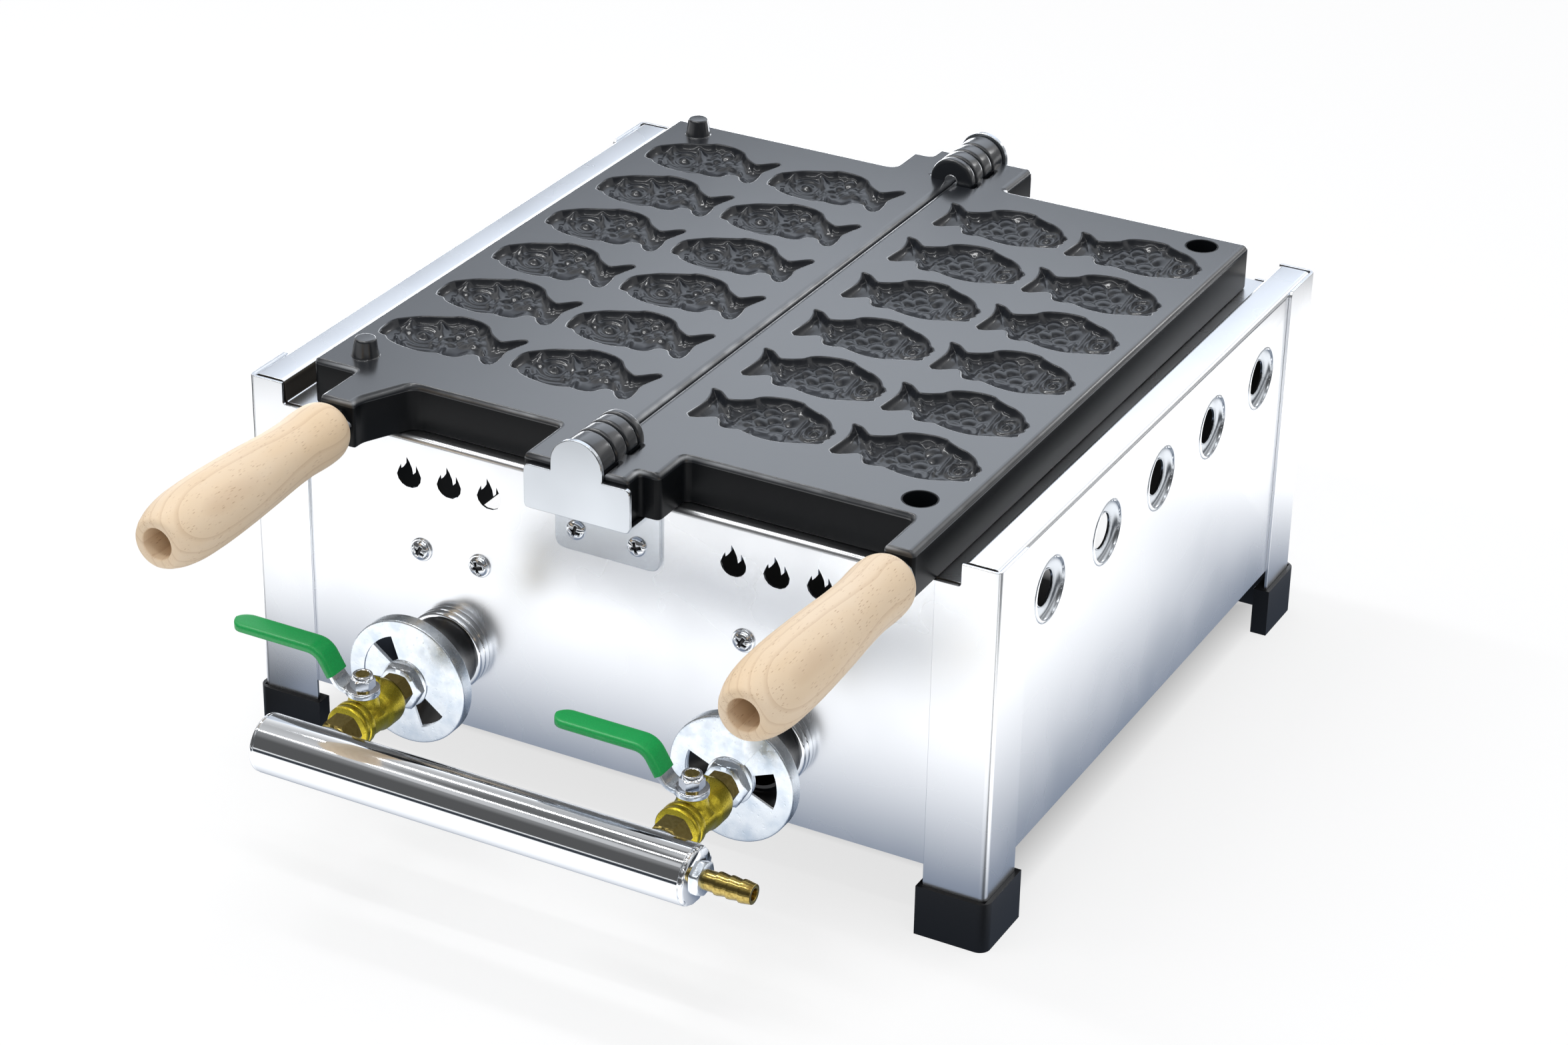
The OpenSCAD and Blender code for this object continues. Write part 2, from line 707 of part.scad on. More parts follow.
module tab_outline() {
    r = tab_screw_z / 2;
    translate([0, r]) square_c(bracket_w, tab_h - r);
    square_c(bracket_w - 2 * r, tab_h);
    for (x = [-1, 1]) translate([x * (bracket_w / 2 - r), r]) circle(r);
}

// The panel's outer face, seen from either end of the hinge line
function panel_face(rear) = rear ? plate_front + plate_rear - rear_panel_y : panel_y;

module hinge_bracket(rear) placed() color(steel) at_end(rear) difference() {
    union() {
        translate([0, 0, web_z]) ahead(dome_at, dome_at + bracket_t) dome_outline();
        translate([-bracket_w / 2, -dome_at, web_z])
            cube([bracket_w, dome_at + panel_face(rear), bracket_t]);
        translate([0, 0, tab_z]) ahead(-panel_face(rear), bracket_t - panel_face(rear)) tab_outline();
    }
    translate([0, 0, hinge_z]) rod_y(pin_d + 2 * fit, pin_start, cut - dome_at);
    for (x = [-tab_screws / 2, tab_screws / 2]) translate([x, 0, tab_z + tab_screw_z])
        rod_y(shank_d + 2 * fit, panel_face(rear) - bracket_t - cut, panel_face(rear) + cut);
}

module at_end(rear) { if (rear) at_far_end() children(); else children(); }

module hinge_pin(rear) placed() color(chrome) at_end(rear)
    translate([0, 0, hinge_z]) rod_y(pin_d, pin_start, pin_in);

// Pan-head screw along y with its head in front of the place y = 0 and a crossed recess
module pan_screw(grip) {
    ball_r = (head_d * head_d / 4 + head_h * head_h) / (2 * head_h);
    difference() {
        rotate([90, 0, 0]) intersection() {
            cylinder(d = head_d, h = head_h);
            translate([0, 0, head_h - ball_r]) sphere(ball_r);
        }
        for (a = [0, 90]) translate([0, -head_h, 0]) rotate([0, a, 0])
            cube([head_d / 2, head_h, head_h / 3], center = true);
    }
    rod_y(shank_d, 0, grip + shank_l);
}

module washer_y(d, y0) difference() {
    rod_y(d, y0, y0 + washer_t);
    rod_y(shank_d + 2 * fit, y0 - cut, y0 + washer_t + cut);
}

module nut_y(af, y0, l, bore) difference() {
    translate([0, y0 + l, 0]) rotate([90, 0, 0]) linear_extrude(l) hexagon(af);
    rod_y(bore, y0 - cut, y0 + l + cut);
}

module bracket_screw_places(rear) for (x = [-tab_screws / 2, tab_screws / 2])
    translate([x, panel_face(rear) - bracket_t, tab_z + tab_screw_z]) children();

module bracket_screws() placed() color(chrome) for (rear = [false, true])
    at_end(rear) bracket_screw_places(rear) pan_screw(bracket_t);

module panel_screw_places() for (s = [-1, 1], x = [-panel_screws / 2, panel_screws / 2])
    translate([s * burner_x + x, panel_y, burner_z + panel_screw_up]) children();

module panel_screw_set() placed() color(chrome) panel_screw_places() {
    translate([0, -washer_t, 0]) pan_screw(washer_t);
    washer_y(head_d + 2 * washer_t, -washer_t);
}

// Nuts behind the panels: on the brackets' screws, and behind the burner mounts
module screw_nuts() placed() color(chrome) {
    for (rear = [false, true]) at_end(rear) bracket_screw_places(rear)
        nut_y(screw_nut_af, bracket_t + sheet, screw_nut_h, shank_d + 2 * fit);
    panel_screw_places()
        nut_y(screw_nut_af, sheet + bracket_t, screw_nut_h, shank_d + 2 * fit);
}

// Handles: a rod through a turned grip, its hexagon against the lug and a nut in the grip's end bore
module at_handle(s) placed() sided(s) translate([handle_x(s), 0, handle_z]) children();

module handle_rod(s) color(chrome) at_handle(s) {
    rod_y(rod_d, -rod_end - screw_nut_h - fit, rod_in - fit - lug_end);
    ahead(lug_end, grip_start) hexagon(hex_af);
}

module handle_nut(s) color(chrome) at_handle(s)
    nut_y(nut_af, -rod_end - screw_nut_h - fit, screw_nut_h, rod_d + 2 * fit);

module handle_grip(s) color(beech) at_handle(s) difference() {
    turned_y(concat([[grip_start + fit, 0]],
        [for (p = grip_shares) [grip_start + fit + p[0] * (grip_l - fit), p[1] * grip_r]],
        [[grip_end, 0]]));
    rod_y(rod_d + 2 * fit, -grip_end - cut, cut - grip_start);
    rod_y(grip_bore_d, -grip_end - cut, -rod_end);
}

// Burners
module at_burner(s) placed() translate([s * burner_x, 0, burner_z]) children();

module burner_tube(s) color(iron) at_burner(s) {
    first_port = panel_y + sheet + bracket_t + 2 * port_pitch;
    ports = floor((tube_end - first_port - port_pitch) / port_pitch);
    difference() {
        rod_y(tube_d, -tube_front, tube_end);
        rod_y(tube_d - 2 * tube_wall, -tube_front - cut, tube_end - tube_wall);
        for (i = [0:ports], a = [-port_angle, port_angle])
            translate([0, first_port + i * port_pitch, 0]) rotate([0, a, 0])
                cylinder(d = port_d, h = tube_d);
    }
    rod_y(stub_d, tube_end, tube_end + stub_l);
}

// Plates behind the panel that carry the front of the tubes
module burner_mounts() color(steel) for (s = [-1, 1]) at_burner(s) {
    w = panel_screws + 2 * head_d;
    back = panel_y + sheet;
    difference() {
        translate([-w / 2, back, -tube_d])
            cube([w, bracket_t, tube_d + panel_screw_up + head_d]);
        rod_y(tube_d + 2 * fit, back - cut, back + bracket_t + cut);
        for (x = [-panel_screws / 2, panel_screws / 2]) translate([x, 0, panel_screw_up])
            rod_y(shank_d + 2 * fit, back - cut, back + bracket_t + cut);
    }
}

// Angles on the rear panel that carry the tubes' rear stubs
module burner_rests() color(steel) for (s = [-1, 1]) at_burner(s) {
    front = tube_end + stub_l / 2;
    back = rear_panel_y - sheet;
    difference() {
        translate([-tube_d / 2, front, -tube_d / 2]) cube([tube_d, bracket_t, tube_d]);
        rod_y(stub_d + 2 * fit, front - cut, front + bracket_t + cut);
    }
    translate([-tube_d / 2, front, -tube_d / 2 - bracket_t]) cube([tube_d, back - front, bracket_t]);
    translate([-tube_d / 2, back - bracket_t, -tube_d / 2]) cube([tube_d, bracket_t, tube_d]);
}

// Ring around the tube on the panel, with a round front edge
module panel_ring(s) color(chrome) at_burner(s) {
    r = ring_d / 2;
    edge = ring_w / 2;
    difference() {
        union() {
            rod_y(ring_d, edge - ring_l, panel_y);
            rod_y(ring_d - 2 * edge, -ring_l, edge - ring_l);
            translate([0, edge - ring_l, 0]) rotate([90, 0, 0]) rotate_extrude()
                translate([r - edge, 0]) circle(edge);
        }
        rod_y(tube_d + 2 * fit, -ring_l - edge, panel_y + cut);
    }
}

// Mixer bell: neck over the tube, flare, and a mouth plate with two windows
bell_flare_shares = [[0, 0], [0.18, 0.02], [0.34, 0.12], [0.52, 0.34], [0.72, 0.66], [0.88, 0.90], [1, 1]];
function bell_r(p) = (neck_d + p[1] * (mouth_d - neck_d)) / 2;

module window(turn) rotate(turn) intersection() {
    difference() { circle(window_r); circle(spud_d); }
    union() for (a = [0, 180]) rotate(a)
        polygon([[0, 0], [shutter_d, -shutter_d * tan(window_angle / 2)],
                 [shutter_d, shutter_d * tan(window_angle / 2)]]);
}

module mixer_bell(s) color(iron) at_burner(s) {
    fixed_turn = s < 0 ? left_window : right_window;
    outer = [for (p = bell_flare_shares) [ring_l + fit + p[0] * (bell_l - fit), bell_r(p)]];
    inner = [for (p = bell_flare_shares) [ring_l + fit + p[0] * (bell_l - fit), bell_r(p) - bell_wall]];
    difference() {
        turned_y(concat([[ring_l + fit, 0]], outer, [[bell_front, 0]]));
        difference() {
            turned_y(concat([[ring_l + fit - cut, 0], [ring_l + fit - cut, neck_d / 2 - bell_wall]], inner,
                [[bell_front, 0]]));
            ahead(bell_front - bell_wall, bell_front + cut) circle(d = shutter_d);
        }
        ahead(bell_front - bell_wall - cut, bell_front + cut) window(fixed_turn);
        ahead(bell_front - bell_wall - cut, bell_front + cut) circle(d = spud_d + 2 * fit);
    }
}

// Air shutter: a shallow cup that turns in front of the mouth
module air_shutter(s) color(chrome) at_burner(s) {
    turn = s < 0 ? left_window + left_turn : right_window + right_turn;
    difference() {
        rod_y(shutter_d, -shutter_front, rim_l - shutter_front);
        rod_y(shutter_d - 2 * shutter_t, shutter_t - shutter_front, rim_l + cut - shutter_front);
        ahead(shutter_front - shutter_t - cut, shutter_front + cut) window(turn);
        rod_y(spud_d + 2 * pin_play, -shutter_front - cut, 2 * cut - shutter_front + shutter_t);
    }
}

module locknut(s) color(chrome) at_burner(s) difference() {
    union() {
        ahead(locknut_start + washer_t, adapter_start) hexagon(locknut_af);
        ahead(locknut_start, locknut_start + washer_t) circle(r = hex_r(locknut_af));
    }
    rod_y(spud_d + 2 * fit, -adapter_start - cut, cut - locknut_start);
}

// Injector: hexagon, threaded pipe through the shutter, nozzle with its orifice inside the bell
module injector(s) color(old_brass) at_burner(s) difference() {
    tip = ring_l + bell_l / 2;
    union() {
        ahead(adapter_start + fit, valve_start) hexagon(adapter_af);
        rod_y(spud_d, -adapter_start - fit, -tip);
        rod_y(nozzle_d, -tip, nozzle_d - tip);
    }
    rod_y(gas_d, -valve_start - cut, -tip - gas_d);
    rod_y(orifice_d, -tip - gas_d - cut, nozzle_d - tip + cut);
}

// Ball valve: turned body with a stem boss on top and a stop lug behind the stem
valve_shares = [
    [0, 0.86], [0.04, 0.94], [0.12, 1], [0.36, 1], [0.48, 0.95], [0.66, 0.90], [0.74, 0.84],
    [0.78, 0.84], [0.80, 0.97], [0.87, 0.97], [0.89, 0.90], [0.92, 0.90], [0.94, 0.97], [1, 0.93]
];

module valve_body(s) color(brass) at_burner(s) difference() {
    union() {
        turned_y(concat([[valve_start + fit, 0]],
            [for (p = valve_shares) [valve_start + fit + p[0] * (valve_l - 2 * fit), p[1] * valve_r]],
            [[valve_end - fit, 0]]));
        translate([0, -stem_at, 0]) cylinder(d = boss_d, h = boss_h);
        translate([-lever_t, washer_d / 2 + washer_t - stem_at, 0])
            cube([2 * lever_t, lever_t, nut_z - burner_z]);
    }
    rod_y(gas_d, -valve_end - cut, cut - valve_start);
    translate([0, -stem_at, 0]) {
        sphere(d = ball_d + 2 * stem_play);
        cylinder(d = stem_d + 2 * stem_play, h = boss_h + cut);
    }
}

// The ball is shut: its bore lies across the gas way
module valve_ball(s) color(brass) at_burner(s) translate([0, -stem_at, 0]) {
    difference() {
        sphere(d = ball_d);
        rotate([0, 90, 0]) cylinder(d = gas_d, h = 2 * ball_d, center = true);
    }
    translate([0, 0, ball_d / 2 - stem_play]) cylinder(d = stem_d, h = stem_top - burner_z - ball_d / 2);
}

module inlet_nipple(s) color(old_brass) at_burner(s) difference() {
    union() {
        ahead(valve_end, inlet_end) hexagon(inlet_af);
        rod_y(spud_d, manifold_d / 2 - 3 * manifold_wall - manifold_at, cut - inlet_end);
    }
    rod_y(gas_d, -manifold_at, cut - valve_end);
}

// Levers point to the left: flat root, ramp and long grip end, as one bent strip
lever_points = [[0, 0], [lever_flat, 0], [lever_flat + lever_ramp, lever_rise], [lever_l, lever_rise]];
module lever_strip(start, grow) {
    a = atan2(lever_rise, lever_ramp) / 2;
    t = lever_t + grow;
    // Shift along the strip that keeps its thickness through a fold
    k = tan(a);
    p = lever_points;
    difference() {
        rotate([90, 0, 0]) linear_extrude(2 * washer_d, center = true) polygon([
            [p[0][0] - washer_d, -grow], [p[1][0] + grow * k, -grow], [p[2][0] + grow * k, p[2][1] - grow],
            [p[3][0] + washer_d, p[3][1] - grow], [p[3][0] + washer_d, p[3][1] + t],
            [p[2][0] - t * k, p[2][1] + t], [p[1][0] - t * k, t], [p[0][0] - washer_d, t]
        ]);
        translate([start - 2 * washer_d, -2 * washer_d, -lever_rise])
            cube([2 * washer_d, 4 * washer_d, 3 * lever_rise]);
    }
}

module lever_plan(w, l) {
    translate([0, -w / 2]) square([l - w / 2, w]);
    translate([l - w / 2, 0]) circle(d = w);
}

module at_lever(s) placed() translate([s * burner_x, -stem_at, lever_z]) rotate([0, 0, 180]) children();

module lever_solid() intersection() {
    lever_strip(-washer_d, 0);
    translate([0, 0, -lever_rise]) linear_extrude(3 * lever_rise) {
        lever_plan(lever_w, lever_l);
        circle(d = washer_d);
    }
}

module lever(s) color(chrome) at_lever(s) difference() {
    lever_solid();
    cylinder(d = stem_d + 2 * fit, h = 2 * (lever_t + cut), center = true);
}

module lever_sleeve(s) color(vinyl) at_lever(s) difference() {
    intersection() {
        lever_strip(lever_flat + lever_ramp / 3, sleeve_wall);
        translate([0, 0, -lever_rise]) linear_extrude(3 * lever_rise)
            lever_plan(lever_w + 2 * sleeve_wall, lever_l + sleeve_wall);
    }
    lever_solid();
}

module lever_nut(s) color(chrome) placed() translate([s * burner_x, -stem_at, washer_z]) difference() {
    union() {
        cylinder(d = washer_d, h = washer_t);
        linear_extrude(washer_t + nut_h * nut_hex_share) hexagon(nut_af);
        cylinder(d = nut_af, h = washer_t + nut_h);
    }
    translate([0, 0, -cut]) cylinder(d = stem_d + 2 * fit, h = nut_h + washer_t + 2 * cut);
}

// Gas manifold along x
module at_manifold() placed() translate([0, -manifold_at, burner_z]) children();
module rod_x(d, x0, x1) translate([x0, 0, 0]) rotate([0, 90, 0]) cylinder(d = d, h = x1 - x0);

module gas_manifold() color(chrome) at_manifold() difference() {
    rod_x(manifold_d, -manifold_l / 2, manifold_l / 2);
    rod_x(manifold_d - 2 * manifold_wall, -manifold_l / 2 - cut, manifold_l / 2 + cut);
    for (s = [-1, 1]) translate([s * burner_x, 0, 0]) rod_y(spud_d + 2 * fit, 0, manifold_d);
}

// End caps: a plug inside the tube and a lip outside
module end_cap(s) color(chrome) at_manifold() sided(s) {
    rod_x(manifold_d - 2 * manifold_wall - 2 * fit, manifold_l / 2 - 2 * cap_l, manifold_l / 2 + cap_l);
    rod_x(manifold_d - cap_l, manifold_l / 2 + fit, manifold_l / 2 + cap_l);
    translate([manifold_l / 2 + cap_l / 2 + fit, 0, 0]) rotate([0, 90, 0]) rotate_extrude()
        translate([(manifold_d - cap_l) / 2, 0]) circle(d = cap_l);
}

module manifold_end_cap() end_cap(-1);

module manifold_weld_cap() difference() {
    end_cap(1);
    at_manifold() rod_x(barb_thread_d + 2 * fit, manifold_l / 2 - 3 * cap_l, manifold_l / 2 + cap_l + cut);
}

// Hose barb: threaded end, hexagon, and a stem with three barbs that point to the manifold
barbs = 3;
barb_pitch = barb_l / (barbs + 1);
barb_land = barb_pitch / 5;
module hose_barb() color(brass) at_manifold() translate([manifold_l / 2 + cap_l, 0, 0]) difference() {
    root_r = barb_d / 2 - barb_step;
    first = barb_hex_l + barb_pitch;
    union() {
        rod_x(barb_thread_d, -2 * cap_l, barb_hex_l);
        translate([fit, 0, 0]) rotate([0, 90, 0]) linear_extrude(barb_hex_l - fit) hexagon(adapter_af);
        rotate([0, 90, 0]) rotate_extrude() polygon(concat(
            [[0, fit], [root_r, fit]],
            [for (i = [0:barbs - 1], q = [[root_r, 0], [barb_d / 2, 0], [barb_d / 2, barb_land],
                                          [root_r, barb_pitch - fit]])
                [q[0], first + i * barb_pitch + q[1]]],
            [[0, barb_hex_l + barb_l - fit]]));
    }
    rod_x(gas_d, -2 * cap_l - cut, barb_hex_l + barb_l + cut);
}

front_panel();
rear_panel();
side_panel(-1);  // left_side_panel
side_panel(1);  // right_side_panel
leg(-1, false);  // front_left_leg
leg(1, false);  // front_right_leg
leg(-1, true);  // rear_left_leg
leg(1, true);  // rear_right_leg
boot(-1, false);  // front_left_boot
boot(1, false);  // front_right_boot
boot(-1, true);  // rear_left_boot
boot(1, true);  // rear_right_boot
plate(-1);  // left_plate
plate(1);  // right_plate
hinge_bracket(false);  // front_hinge_bracket
hinge_bracket(true);  // rear_hinge_bracket
hinge_pin(false);  // front_hinge_pin
hinge_pin(true);  // rear_hinge_pin
bracket_screws();
panel_screw_set();
screw_nuts();
handle_rod(-1);  // left_handle_rod
handle_rod(1);  // right_handle_rod
handle_grip(-1);  // left_handle_grip
handle_grip(1);  // right_handle_grip
handle_nut(-1);  // left_handle_nut
handle_nut(1);  // right_handle_nut
burner_tube(-1);  // left_burner_tube
burner_tube(1);  // right_burner_tube
burner_mounts();
burner_rests();
panel_ring(-1);  // left_panel_ring
panel_ring(1);  // right_panel_ring
mixer_bell(-1);  // left_mixer_bell
mixer_bell(1);  // right_mixer_bell
air_shutter(-1);  // left_air_shutter
air_shutter(1);  // right_air_shutter
locknut(-1);  // left_locknut
locknut(1);  // right_locknut
injector(-1);  // left_injector
injector(1);  // right_injector
valve_body(-1);  // left_valve_body
valve_body(1);  // right_valve_body
valve_ball(-1);  // left_valve_ball
valve_ball(1);  // right_valve_ball
inlet_nipple(-1);  // left_inlet_nipple
inlet_nipple(1);  // right_inlet_nipple
lever(-1);  // left_lever
lever(1);  // right_lever
lever_sleeve(-1);  // left_lever_sleeve
lever_sleeve(1);  // right_lever_sleeve
lever_nut(-1);  // left_lever_nut
lever_nut(1);  // right_lever_nut
gas_manifold();
manifold_end_cap();
manifold_weld_cap();
hose_barb();
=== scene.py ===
"""Taiyaki maker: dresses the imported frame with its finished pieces, materials and studio."""

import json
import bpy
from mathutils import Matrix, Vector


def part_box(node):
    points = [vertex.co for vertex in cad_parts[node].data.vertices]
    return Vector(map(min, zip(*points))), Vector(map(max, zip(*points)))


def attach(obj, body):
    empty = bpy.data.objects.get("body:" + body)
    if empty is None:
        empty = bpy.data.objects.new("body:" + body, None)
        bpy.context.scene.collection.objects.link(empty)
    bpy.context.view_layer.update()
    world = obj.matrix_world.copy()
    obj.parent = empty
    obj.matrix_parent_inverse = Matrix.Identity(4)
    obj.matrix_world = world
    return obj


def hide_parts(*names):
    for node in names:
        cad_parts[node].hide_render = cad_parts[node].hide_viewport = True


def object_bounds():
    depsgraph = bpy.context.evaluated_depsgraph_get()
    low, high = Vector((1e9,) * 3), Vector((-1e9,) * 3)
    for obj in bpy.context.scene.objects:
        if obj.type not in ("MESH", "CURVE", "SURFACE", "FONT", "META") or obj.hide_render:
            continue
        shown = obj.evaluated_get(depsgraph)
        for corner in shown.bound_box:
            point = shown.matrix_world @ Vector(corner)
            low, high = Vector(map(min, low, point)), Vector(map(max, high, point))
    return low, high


bl_info = {
    "name": "Taiyaki Maker",
    "version": (1, 0, 0),
    "blender": (4, 5, 0),
    "location": "3D View > Sidebar > Taiyaki",
    "description": "Builds a twelve-by-two taiyaki maker around its packed frame",
    "category": "Object",
}

from functools import partial

import bmesh
import bpy
import numpy as np
from bpy.props import FloatProperty, FloatVectorProperty, IntProperty, PointerProperty
from mathutils import Euler, Vector
from mathutils.geometry import delaunay_2d_cdt

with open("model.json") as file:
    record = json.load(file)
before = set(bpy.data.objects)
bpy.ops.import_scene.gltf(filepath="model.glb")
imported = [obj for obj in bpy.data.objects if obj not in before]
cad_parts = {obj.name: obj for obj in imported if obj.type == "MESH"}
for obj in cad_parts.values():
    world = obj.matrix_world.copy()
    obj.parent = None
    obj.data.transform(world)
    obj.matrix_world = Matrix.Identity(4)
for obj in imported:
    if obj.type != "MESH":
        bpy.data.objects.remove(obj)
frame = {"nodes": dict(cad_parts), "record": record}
CAD_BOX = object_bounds()

# Shapes are worked out in millimetres, with y = 0 on the front of the legs
MM = 0.001
ORIGIN = np.array([0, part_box("front_left_leg")[0].y / MM, 0])
BODY_OF = {node: body for body, nodes in frame["record"]["behaviour"]["bodies"].items() for node in nodes}
SIDES = ((-1, "left"), (1, "right"))
# Points nearer than this are one, in millimetres
DOUBLE = 0.004


def span(node):
    """Lowest and highest corner of a CAD node, in millimetres from the front of the legs."""
    low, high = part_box(node)
    return np.array(low) / MM - ORIGIN, np.array(high) / MM - ORIGIN


def linear(code):
    """An sRGB hex colour turned to linear values."""
    c = np.array([int(code[i:i + 2], 16) for i in (1, 3, 5)]) / 255
    return tuple(np.where(c <= 0.04045, c / 12.92, ((c + 0.055) / 1.055) ** 2.4))


def tint(name, what, code):
    return FloatVectorProperty(name=name, description=what, default=linear(code), size=3,
                               subtype="COLOR", min=0, max=1)


def size(name, what, value, low=0.0, high=100.0):
    return FloatProperty(name=name, description=what, default=value, min=low, max=high)


class TaiyakiColours(bpy.types.PropertyGroup):
    coating: tint("Coating", "Satin release coating on the plates", "#1c1f24")
    # Darker, duller copy of the coating for walls, underside, saddles and sockets: painted shade
    wall: tint("Plate walls", "The same coating on the sides, darker and duller as painted shade", "#0e1013")
    cavity: tint("Cavity", "Glossy coating inside the moulds", "#1a1d23")
    sheet: tint("Sheet", "Polished stainless sheet of the body", "#f2f4f7")
    bracket: tint("Bracket", "Greyer stainless of the brackets and vents", "#cfd4da")
    # Darker sheet for faces inside, underneath and at cut ends: partly heat tint, partly painted shade
    scorched: tint("Scorched and shaded sheet", "Heat-darkened and shaded inner side of the sheet", "#5c5750")
    zinc: tint("Zinc", "Zinc plate on shutters, nuts and levers", "#eaf0f6")
    chrome: tint("Chrome", "Bright chrome on manifold, pins and rods", "#eef1f5")
    cast_brass: tint("Cast brass", "Rough cast skin of the valves", "#d2bf3e")
    dull_brass: tint("Dull brass", "Machined brass hexagons", "#bda864")
    black_paint: tint("Black paint", "Stove paint on the burner castings", "#121316")
    rubber: tint("Rubber", "Boots under the legs", "#0f1013")
    beech: tint("Beech", "Turned grips", "#f1dcc1")
    beech_dark: tint("Beech grain", "Late wood and flecks", "#b48a60")
    vinyl: tint("Vinyl", "Dipped sleeves of the levers", "#15a552")


class TaiyakiSizes(bpy.types.PropertyGroup):
    edge: size("Edge", "Rounding of the plates' edges, mm", 4.0)
    front: size("Front edge", "Reach of the rounding on the edges that face forward, mm", 1.5)
    seam: size("Seam edge", "Rounding of the edges that meet at the hinge line, mm", 4.6)
    rim: size("Mould rim", "Radius of the rounding at a mould's rim, mm", 1.3)
    steep: size("Wall angle", "Slope of a mould's wall, degrees", 62.0)
    ledge: size("Mould edge depth", "Depth of a mould's floor at its wall, mm", 4.4)
    floor: size("Mould floor", "Depth that the floor gains towards the middle, mm", 4.6)
    relief: size("Relief", "Share of the drawn relief that is cut", 0.8)
    columns: IntProperty(name="Mould columns", description="Grid columns along one fish", default=168)
    rows: IntProperty(name="Mould rows", description="Grid rows across one fish", default=96)


class TaiyakiStudio(bpy.types.PropertyGroup):
    sky: size("Sky", "Strength of the even light from all round", 0.66)
    key: size("Key", "Radiance of the strips above", 26.0)
    line: size("Line", "Radiance of the long strip ahead", 15.0)
    rim_light: size("Rim light", "Radiance of the softbox behind", 7.0)
    floor: tint("Floor", "Pale studio floor", "#f4f5f7")
    near: tint("Near floor", "What polished sheet sees close to the object", "#7d889a")
    far: tint("Far floor", "What polished sheet sees further off", "#33383f")


def node(tree, kind, inputs=(), out=None, to=None, **settings):
    """Adds one shader node, gives its inputs links or values, by name or in order, and returns an output,
    which is linked to a socket where one is given."""
    made = tree.nodes.new("ShaderNode" + kind)
    for key, value in settings.items():
        setattr(made, key, value)
    for key, value in inputs.items() if isinstance(inputs, dict) else enumerate(inputs):
        socket = made.inputs[key]
        if isinstance(value, bpy.types.NodeSocket):
            tree.links.new(value, socket)
        else:
            socket.default_value = (*value, 1) if socket.type == "RGBA" and len(value) == 3 else value
    found = made.outputs[out] if out else next(o for o in made.outputs if o.enabled)
    if to:
        tree.links.new(found, to)
    return found


def blank(name, colour, metallic, roughness, **sockets):
    """A material with one Principled shader; uniform values sit on the shader's own sockets. Also returned
    are a function that adds a node to it, those sockets, and the object's coordinates."""
    material = bpy.data.materials.new(name)
    material.use_nodes = True
    shader = material.node_tree.nodes["Principled BSDF"].inputs
    for key, value in {"Base Color": (*colour, 1), "Metallic": metallic, "Roughness": roughness,
                       **sockets}.items():
        shader[key.replace("_", " ")].default_value = value
    add = partial(node, material.node_tree)
    return material, add, shader, add("TexCoord", out="Object")


def per(mm):
    """Scale of a pattern on Object coordinates whose features are this many millimetres wide."""
    return 1 / (mm * MM)


def scaled_colour(colour, factor):
    return tuple(min(1.0, c * factor) for c in colour)


def patches(add, place, width, detail, *reach, to=None):
    """A noise with features this many millimetres wide, one range of it mapped to another."""
    noise = add("TexNoise", {"Vector": place, "Scale": per(width), "Detail": detail})
    return add("MapRange", [noise, *reach], to=to)


def skin(add, shader, place, width, detail, depth, strength):
    """Small relief in the surface from a noise; its width and depth are in millimetres."""
    noise = add("TexNoise", {"Vector": place, "Scale": per(width), "Detail": detail})
    add("Bump", {"Height": noise, "Distance": depth * MM, "Strength": strength}, to=shader["Normal"])


def layered(add, tone, *layers, to=None):
    """Colours laid over a first one in turn, each by its own share."""
    for share, colour in layers:
        tone = add("Mix", {0: share, 6: tone, 7: colour}, data_type="RGBA", to=to)
    return tone


def coated(name, colour, roughness, peel, depth, **sockets):
    """Sprayed release coating: an even dark skin, faintly clouded, paler along edges in a mark that is partly rubbed
    wear and partly a painted highlight.
    Its peel has humps of the given width and depth, in millimetres."""
    material, add, shader, place = blank(name, colour, 0, roughness, IOR=1.5, **sockets)
    # The pale edge mark is partly rubbed wear and partly a painted highlight
    wear_and_highlight_share = add("Math", [add("Attribute", out="Fac", attribute_name="wear_and_highlight"),
                          patches(add, place, 20, 2, 0.38, 0.62, 0.4, 1.0)], operation="MULTIPLY")
    layered(add, scaled_colour(colour, 0.88), (patches(add, place, 45, 3, 0.3, 0.7), scaled_colour(colour, 1.14)),
            (wear_and_highlight_share, linear("#e3e7ec")), to=shader["Base Color"])
    # The peel of a real coat is near half a millimetre and is drawn a little coarser to show
    skin(add, shader, place, peel, 2, depth, 0.3)
    return material


def polished_sheet(name, colour, roughness, grain):
    """Cold-rolled stainless sheet: satin bright, with a fine vertical rolling grain."""
    material, add, shader, place = blank(name, colour, 1, roughness)
    patches(add, place, 60, 2, 0.3, 0.7, roughness * 0.88, roughness * 1.14, to=shader["Roughness"])
    skin(add, shader, add("Mapping", {"Vector": place, "Scale": (1, 1, 0.04)}), grain, 2, 0.02, 0.12)
    return material


def zinc_plate(name, colour, roughness):
    """Zinc plate over pressed steel: pale and a little cloudy, with sparse pits left by the press."""
    material, add, shader, place = blank(name, colour, 1, roughness)
    layered(add, colour, (patches(add, place, 14, 3, 0.42, 0.72), linear("#cad6e3")), to=shader["Base Color"])
    patches(add, place, 5, 3, 0.3, 0.7, roughness * 0.8, roughness * 1.25, to=shader["Roughness"])
    pits = patches(add, place, 2.2, 2, 0.64, 0.74, 0.0, -1.0)
    dents = patches(add, place, 16, 1, 0.3, 0.7, -1.0, 1.0)
    add("Bump", {"Height": add("Math", [pits, dents], operation="ADD"), "Distance": 0.14 * MM, "Strength": 0.35},
        to=shader["Normal"])
    return material


